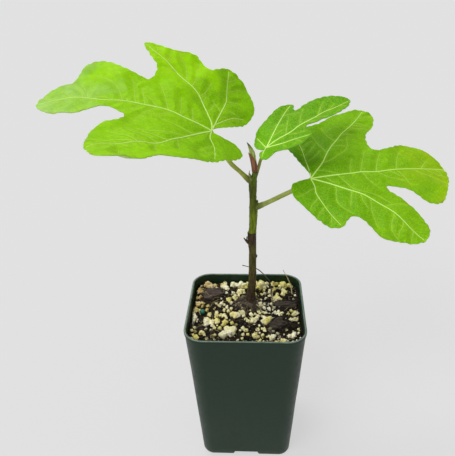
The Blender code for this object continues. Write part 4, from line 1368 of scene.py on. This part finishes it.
LEFT_LEAF = Leaf(
    joint=(-15.0, 0.0, 187.5),
    length=82.0,
    heading=-175.0,
    rise=33.0,
    droop=44.0,
    roll=-18.0,
    cup=-0.0085,
    outline=(
        (0, -1), (-8, -10), (-15, -19), (-16, -31), (-9, -41), (2, -46),
        (10, -39), (17, -44), (28, -43), (39, -43), (36, -35), (32, -28),
        (34, -20), (42, -22), (53, -27), (62, -24), (66, -13), (74, -9),
        (82, 1), (75, 11), (62, 13), (50, 7), (41, 12), (43, 19),
        (49, 24), (52, 38), (49, 59), (39, 73), (28, 60), (18, 43),
        (6, 36), (-8, 21), (-18, 6), (-14, 0), (-5, 1),
    ),
    stalk=(
        (4.2, 8.4, 157.2, 1.3), (2.2, 8.2, 159.2, 1.5), (-2.0, 8.0, 163.6, 1.15),
        (-7.0, 7.0, 169.0, 1.1), (-11.0, 4.0, 177.0, 1.1),
    ),
    mains=(
        ((0, 0), (7, 0), (14, 0), (22, -1), (33, 0), (43, 0), (51, 1), (58, 0), (66, -1), (82, 1)),
        ((0, 0), (1, -5), (5, -12), (10, -20), (15, -24), (20, -27), (27, -33), (34, -38), (39, -43)),
        ((0, 0), (7, 9), (11, 14), (15, 20), (24, 31), (33, 38), (38, 42), (46, 48), (49, 56)),
        ((0, 0), (-1, -11), (-2, -22), (-2, -27), (0, -36), (2, -46)),
        ((0, 0), (0, -4), (-3, -10), (-7, -16), (-13, -22)),
        ((0, 0), (0, 6), (-3, 12), (-4, 22)),
    ),
    sides=(
        ((10, 0), (11, -6), (12, -9)), ((16, 0), (17, -8), (18, -13)),
        ((22, -1), (25, -10), (29, -19)), ((33, 0), (34, -5), (36, -12)),
        ((37, 0), (39, -9), (40, -14), (41, -17)), ((43, 0), (46, -9), (50, -14), (58, -19)),
        ((58, 0), (60, -6), (63, -11)), ((66, -1), (69, -5), (72, -7)),
        ((28, 0), (33, 8), (37, 17)), ((43, 0), (46, 4)), ((56, 0), (60, 6), (64, 10)),
        ((15, 20), (13, 29)), ((24, 31), (23, 40)), ((30, 38), (36, 32), (45, 29)),
        ((10, -20), (8, -25), (7, -32)), ((15, -24), (14, -30), (15, -40)),
        ((24, -30), (29, -30)), ((-2, -25), (-8, -30)), ((-1, -17), (4, -22)),
        ((34, 43), (40, 42), (47, 44)), ((37, 50), (36, 58), (33, 62)),
    ),
)
left_blade = make_blade(
    "left_blade_and_veins",
    LEFT_LEAF,
    [leaf_skin(
        # These bands are partly painted light: the pale tip from 50 to 78 along is a painted sheen, and
        # the lighter green across the far lobe is painted light.
        "left_leaf_skin", (
            (0, 0, 0, "7AB604"), (0, -5, 30, "88C406"), (1, -10, -36, "9CD808"), (0, 14, 2, "78B404"),
            (0, 50, 78, "9CC862"),
        ),
        "A9C76E", "9A6B3C",
    )],
)
LEFT_SKIN = stalk_skin("left_stalk_skin", LEFT_LEAF.stalk[1], "B2B650", "98A23A")
left_stalk = add_piece("left_stalk", make_stalk(LEFT_LEAF), [LEFT_SKIN])
for leaf_piece, node in ((left_blade, "blade_left"), (left_stalk, "petiole_left")):
    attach(leaf_piece, "root")
    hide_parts(node)

# The right leaf
# A leaf of three lobes on a long stalk, lower and flatter than the left one. It lies partly in
# the shade of the top leaf, and that shade is also painted into its skin as a deeper green near the
# stalk.
RIGHT_LEAF = Leaf(
    joint=(32.5, 6.0, 161.0),
    length=74.0,
    heading=13.0,
    rise=10.0,
    droop=24.0,
    roll=19.0,
    cup=0.0014,
    outline=(
        (0, 1), (-4, 0), (-10, -1), (-12, -8), (-9, -20), (-4, -31),
        (3, -35), (11, -30), (16, -37), (19, -46), (28, -49), (39, -50),
        (45, -42), (42, -29), (34, -15), (43, -18), (52, -27), (60, -26),
        (67, -16), (72, -6), (71, 4), (65, 14), (55, 18), (44, 14),
        (37, 15), (38, 26), (46, 37), (48, 47), (41, 52), (30, 49),
        (20, 43), (9, 40), (-1, 38), (-6, 32), (-4, 24), (-2, 14), (0, 6),
    ),
    stalk=(
        (4.2, 8.4, 143.4, 1.4), (6.2, 8.3, 144.6, 1.65), (11.0, 8.0, 146.9, 1.25),
        (18.0, 7.5, 150.8, 1.2), (26.0, 6.6, 155.5, 1.15),
    ),
    mains=(
        ((0, 0), (9, -1), (20, -2), (26, -2), (33, -3), (44, -2), (60, -1), (73, 0)),
        ((0, 0), (9, 9), (14, 16), (21, 24), (26, 30), (33, 36), (44, 50)),
        ((0, 0), (7, -6), (16, -14), (23, -21), (28, -27), (31, -32), (35, -41), (40, -50)),
        ((0, 0), (1, 4), (2, 14), (3, 24), (2, 36)),
        ((0, 0), (0, -6), (-1, -11), (0, -20), (1, -26), (3, -34)),
    ),
    sides=(
        ((20, -2), (21, 2), (24, 8)), ((25, -2), (29, 6), (33, 14)), ((33, -3), (36, 4), (40, 11)),
        ((44, -2), (48, 7), (52, 13)), ((58, -1), (64, 6)), ((44, -2), (46, -7), (47, -14)),
        ((26, -2), (27, -8), (30, -14)), ((21, 24), (19, 30), (18, 38)), ((14, 16), (12, 24), (11, 32)),
        ((26, 30), (32, 28)), ((16, -14), (12, -23)), ((23, -21), (21, -28), (20, -38)),
        ((28, -27), (34, -26), (40, -27)), ((33, 36), (39, 36), (43, 38)),
    ),
)
right_blade = make_blade(
    "right_blade_and_veins",
    RIGHT_LEAF,
    [leaf_skin(
        # The deeper green from the stalk out to 35 along the midrib is painted shade of the top leaf.
        "right_leaf_skin", ((0, 0, 0, "5C9A04"), (0, 0, 35, "70A806"), (0, 46, 74, "8CB008")),
        "9DBB62", "8A6A38",
    )],
)
RIGHT_SKIN = stalk_skin("right_stalk_skin", RIGHT_LEAF.stalk[1], "A6B25A", "909C42")
right_stalk = add_piece("right_stalk", make_stalk(RIGHT_LEAF), [RIGHT_SKIN])
for leaf_piece, node in ((right_blade, "blade_right"), (right_stalk, "petiole_right")):
    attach(leaf_piece, "root")
    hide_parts(node)

# The top leaf
# The youngest open leaf, small and nearly unlobed, folded up along its midrib over the right one.
TOP_LEAF = Leaf(
    joint=(10.5, 12.0, 175.0),
    length=50.0,
    heading=20.0,
    rise=33.0,
    droop=24.0,
    roll=10.0,
    cup=-0.009,
    outline=(
        (0, -1), (-4, 0), (-6, -4), (-4, -9), (2, -9), (8, -13),
        (15, -15), (21, -12), (22, -4), (30, -5), (38, -6), (45, -3),
        (50, 3), (46, 9), (38, 13), (29, 13), (24, 12), (25, 17),
        (18, 19), (8, 17), (1, 13), (-4, 6), (-3, 1),
    ),
    stalk=(
        (4.8, 8.8, 159.8, 0.9), (5.5, 9.6, 161.8, 1.0), (6.8, 10.2, 165.6, 0.8), (8.0, 11.2, 169.6, 0.8),
    ),
    mains=(
        ((0, 0), (6, 0), (14, -1), (20, 0), (28, 0), (34, 1), (41, 1), (50, 3)),
        ((0, 0), (3, 2), (8, 6), (13, 10), (19, 14), (24, 17)),
        ((0, 0), (7, -5), (11, -7), (15, -9), (20, -12)),
        ((0, 0), (-2, -1), (-5, -4)),
        ((0, 0), (0, 5), (0, 10)),
    ),
    sides=(
        ((12, 0), (16, 6), (19, 10)), ((20, 0), (23, 5), (27, 10)), ((31, 1), (35, 6), (38, 9)),
        ((37, 1), (41, 4)), ((7, -5), (7, -9)), ((28, 0), (33, -3)),
    ),
)
top_blade = make_blade(
    "top_blade_and_veins",
    TOP_LEAF,
    [leaf_skin("top_leaf_skin", ((0, 0, 0, "60A40C"), (0, 3, 16, "559406")), "9CC068", "8A6A38")],
)
TOP_SKIN = stalk_skin("top_stalk_skin", TOP_LEAF.stalk[1], "A2A848", "838C34")
top_stalk = add_piece("top_stalk", make_stalk(TOP_LEAF), [TOP_SKIN])
for leaf_piece, node in ((top_blade, "blade_top"), (top_stalk, "petiole_top")):
    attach(leaf_piece, "root")
    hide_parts(node)

# The terminal bud and its stipule
# The next leaf, furled to a point at the top of the shoot, in a papery red-brown stipule that
# still wraps its lower half.
BUD_PATH = (
    (5.0, 8.5, 163.9, 1.0), (4.9, 8.5, 166.5, 1.15), (4.3, 8.5, 170.5, 1.25), (3.5, 8.5, 174.0, 1.3),
    (2.3, 8.5, 177.0, 0.7), (1.1, 8.5, 179.0, 0.15),
)
PLEATS = 5
PLEAT_DEPTH = 0.1
PLEAT_TWIST = 0.25  # radians in each millimetre
STIPULE_GAP = 0.3
STIPULE_WALL = 0.3
STIPULE_ARC = 230.0
STIPULE_FACING = 212.0
STIPULE_NARROWING = 0.75  # how much of its arc is gone at the torn tip
STIPULE_GRID = (44, 60)
RAGGED = 0.08  # how far the stipule's torn top rises and falls, as a share of its height
TEARS = 7.0
TEAR_ROW = 3.1  # the row of the noise that the tears are read from
CREASES = 14.0
CREASE_LENGTH = 6.0
CREASE_DEPTH = 0.08


def make_bud():
    """The furled leaf: a tapering tube with spiral pleats."""
    course = smooth(BUD_PATH, 16)
    bud = tubes([course], 18)
    heights = [point.z for point in course]
    for vert in bud.verts:
        x = np.interp(vert.co.z, heights, [point.x for point in course])
        out = Vector((vert.co.x - x, vert.co.y - STEM_FOOT.y, 0.0))
        angle = math.atan2(out.y, out.x)
        pleat = math.cos(PLEATS * angle + PLEAT_TWIST * vert.co.z * PLEATS) ** 2
        vert.co -= out * PLEAT_DEPTH * pleat
    return bud


def make_stipule():
    """The wrapped sheet, rolled from a flat grid and given its thickness."""
    sheet = bmesh.new()
    bmesh.ops.create_grid(sheet, x_segments=STIPULE_GRID[0], y_segments=STIPULE_GRID[1], size=0.5)
    grown = bmesh.ops.extrude_face_region(sheet, geom=sheet.faces[:])
    outside = [item for item in grown["geom"] if isinstance(item, bmesh.types.BMVert)]
    bmesh.ops.translate(sheet, vec=(0.0, 0.0, 1.0), verts=outside)
    course = smooth(BUD_PATH[:4], 10)
    heights = [point.z for point in course]
    for vert in sheet.verts:
        around, up, layer = vert.co + Vector((0.0, 0.5, 0.0))
        torn = 1 - RAGGED * (0.5 + noise.noise(Vector((around * TEARS, TEAR_ROW, 0.0)))) * up
        z = heights[0] + (heights[-1] - heights[0]) * up * torn
        arc = math.radians(STIPULE_ARC) * (1 - STIPULE_NARROWING * up ** 3)
        angle = math.radians(STIPULE_FACING) + arc * around
        x = np.interp(z, heights, [point.x for point in course])
        radius = np.interp(z, heights, [point.w for point in course])
        crease = CREASE_DEPTH * noise.noise(Vector((around * CREASES, z / CREASE_LENGTH, 0.0)))
        reach = radius + STIPULE_GAP + (STIPULE_WALL + crease) * layer
        vert.co = (x + math.cos(angle) * reach, STEM_FOOT.y + math.sin(angle) * reach, z)
    if sheet.calc_volume(signed=True) < 0:
        bmesh.ops.reverse_faces(sheet, faces=sheet.faces)
    return sheet


def furled_skin():
    """The furled leaf's outside: satin olive green with pale veins packed into stripes, and a
    dark dried tip."""
    made, tree, shader = new_material("furled_leaf_skin")
    place = add_node(tree, "TexCoord", {}).outputs["Object"]
    height = add_node(tree, "SeparateXYZ", {"Vector": place}).outputs["Z"]
    stretched = add_node(tree, "Mapping", {"Vector": place, "Scale": (1.0, 1.0, 0.16)})
    stripes = add_node(tree, "TexNoise", {"Vector": stretched, "Scale": per_metre(0.55), "Detail": 3.0})
    share = add_node(tree, "MapRange", {"Value": stripes, "From Min": 0.45, "From Max": 0.6})
    striped = add_node(tree, "MixRGB", {
        "Fac": share, "Color1": linear("7E9430"), "Color2": linear("B8C66C"),
    })
    tip = add_node(tree, "MapRange", {
        "Value": height, "From Min": 175.5 * METRES, "From Max": 178 * METRES, "To Max": 0.9,
    })
    colour = add_node(tree, "MixRGB", {"Fac": tip, "Color1": striped, "Color2": linear("4A4722")})
    set_inputs(tree, shader, {"Base Color": colour, "Roughness": 0.45})
    return made


def papery_stipule():
    """A drying stipule: thin papery skin, red-brown with paler lengthwise streaks of fibre, which
    also hold a painted highlight."""
    made, tree, shader = new_material("papery_stipule")
    place = add_node(tree, "TexCoord", {}).outputs["Object"]
    stretched = add_node(tree, "Mapping", {"Vector": place, "Scale": (1.0, 1.0, 0.12)})
    # The paler streaks are fibre, and a painted highlight as well.
    fibres_and_highlight = add_node(tree, "TexNoise", {"Vector": stretched, "Scale": per_metre(0.6), "Detail": 4.0})
    share = add_node(tree, "MapRange", {"Value": fibres_and_highlight, "From Min": 0.4, "From Max": 0.68})
    colour = add_node(tree, "MixRGB", {
        "Fac": share, "Color1": linear("5E2E18"), "Color2": linear("9A663A"),
    })
    set_inputs(tree, shader, {"Base Color": colour, "Roughness": 0.5})
    return made


bud = add_piece("furled_bud", make_bud(), [furled_skin()])
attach(bud, "root")
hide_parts("terminal_bud")
stipule = add_piece("papery_wrap", make_stipule(), [papery_stipule()])
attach(stipule, "root")
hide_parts("bud_stipule")

# The floor, light and camera
# A plain pale floor that fills the frame, soft light from high on the left and from overhead, and
# the camera where the photograph was taken, as it was fitted to the pot.
FLOOR_HALF = 7000.0
FOCAL_PIXELS = 538.077
FRAME_PIXELS = 456.0
SENSOR_WIDTH = 36.0
CAMERA_PLACE = (6.141, -242.201, 263.598)
CAMERA_PITCH = 0.482354
CAMERA_TURN = 0.062245
CAMERA_ROLL = -0.027042
CLIP_METRES = (0.01, 50.0)
FLOOR_GLOW = 0.565
# The floor's glow is taken away under the pot: painted shade there.
PAINTED_SHADE_UNDER_POT = (6.0, 2.5)  # inside the pot's edge: where the glow is gone, and where it is full
ROOM_LIGHT = 0.45
LAMPS = (  # name, strength, tilt and lean from overhead, and how wide the lamp looks, in degrees
    ("window", 1.3, 30, -30, 32),
    ("overhead", 1.4, -20, -16, 30),
)


def pale_floor():
    """A light table's milky sheet: lit from below as well as above, so that it stays even and
    near white, and the pot's shadow on it is faint. Where the pot stands it gives no light of its own:
    painted shade under the pot, seen dark through the notches."""
    made, tree, shader = new_material("lit_milky_sheet")
    place = add_node(tree, "TexCoord", {}).outputs["Object"]
    spread = add_node(tree, "VectorMath", {0: place}, operation="ABSOLUTE")
    axes = add_node(tree, "SeparateXYZ", {"Vector": spread})
    reach = add_node(tree, "Math", {0: axes.outputs["X"], 1: axes.outputs["Y"]}, operation="MAXIMUM")
    # Painted shade: no glow where the pot stands.
    glow_with_painted_shade = add_node(tree, "MapRange", {
        "Value": reach, "From Min": (POT_BASE / 2 - PAINTED_SHADE_UNDER_POT[0]) * METRES,
        "From Max": (POT_BASE / 2 - PAINTED_SHADE_UNDER_POT[1]) * METRES, "To Min": 0.0, "To Max": FLOOR_GLOW,
    })
    set_inputs(tree, shader, {
        "Emission Strength": glow_with_painted_shade, "Base Color": linear("707070"), "Roughness": 1.0,
        "Specular IOR Level": 0.0, "Emission Color": (1.0, 1.0, 1.0, 1.0),
    })
    return made


ground = bmesh.new()
bmesh.ops.create_grid(ground, x_segments=1, y_segments=1, size=FLOOR_HALF)
floor = add_piece("floor", ground, [pale_floor()])

scene = bpy.context.scene
scene.view_settings.view_transform = "Standard"
world = bpy.data.worlds.new("soft_room")
world.use_nodes = True
set_inputs(world.node_tree, world.node_tree.nodes["Background"], {
    "Color": (1.0, 1.0, 1.0, 1.0), "Strength": ROOM_LIGHT,
})
scene.world = world

for name, strength, tilt, lean, spread in LAMPS:
    sun = bpy.data.lights.new(name, "SUN")
    sun.energy = strength
    sun.angle = math.radians(spread)
    lamp = bpy.data.objects.new(name, sun)
    lamp.rotation_euler = Euler((math.radians(tilt), math.radians(lean), 0.0))
    scene.collection.objects.link(lamp)

lens = bpy.data.cameras.new("camera")
lens.sensor_width = SENSOR_WIDTH
lens.lens = FOCAL_PIXELS * SENSOR_WIDTH / FRAME_PIXELS
lens.clip_start, lens.clip_end = CLIP_METRES
camera = bpy.data.objects.new("camera", lens)
camera.matrix_world = (
    Matrix.Translation(Vector(CAMERA_PLACE) * METRES)
    @ Matrix.Rotation(CAMERA_TURN, 4, "Z")
    @ Matrix.Rotation(math.radians(90) - CAMERA_PITCH, 4, "X")
    @ Matrix.Rotation(CAMERA_ROLL, 4, "Z")
)
scene.collection.objects.link(camera)
scene.camera = camera
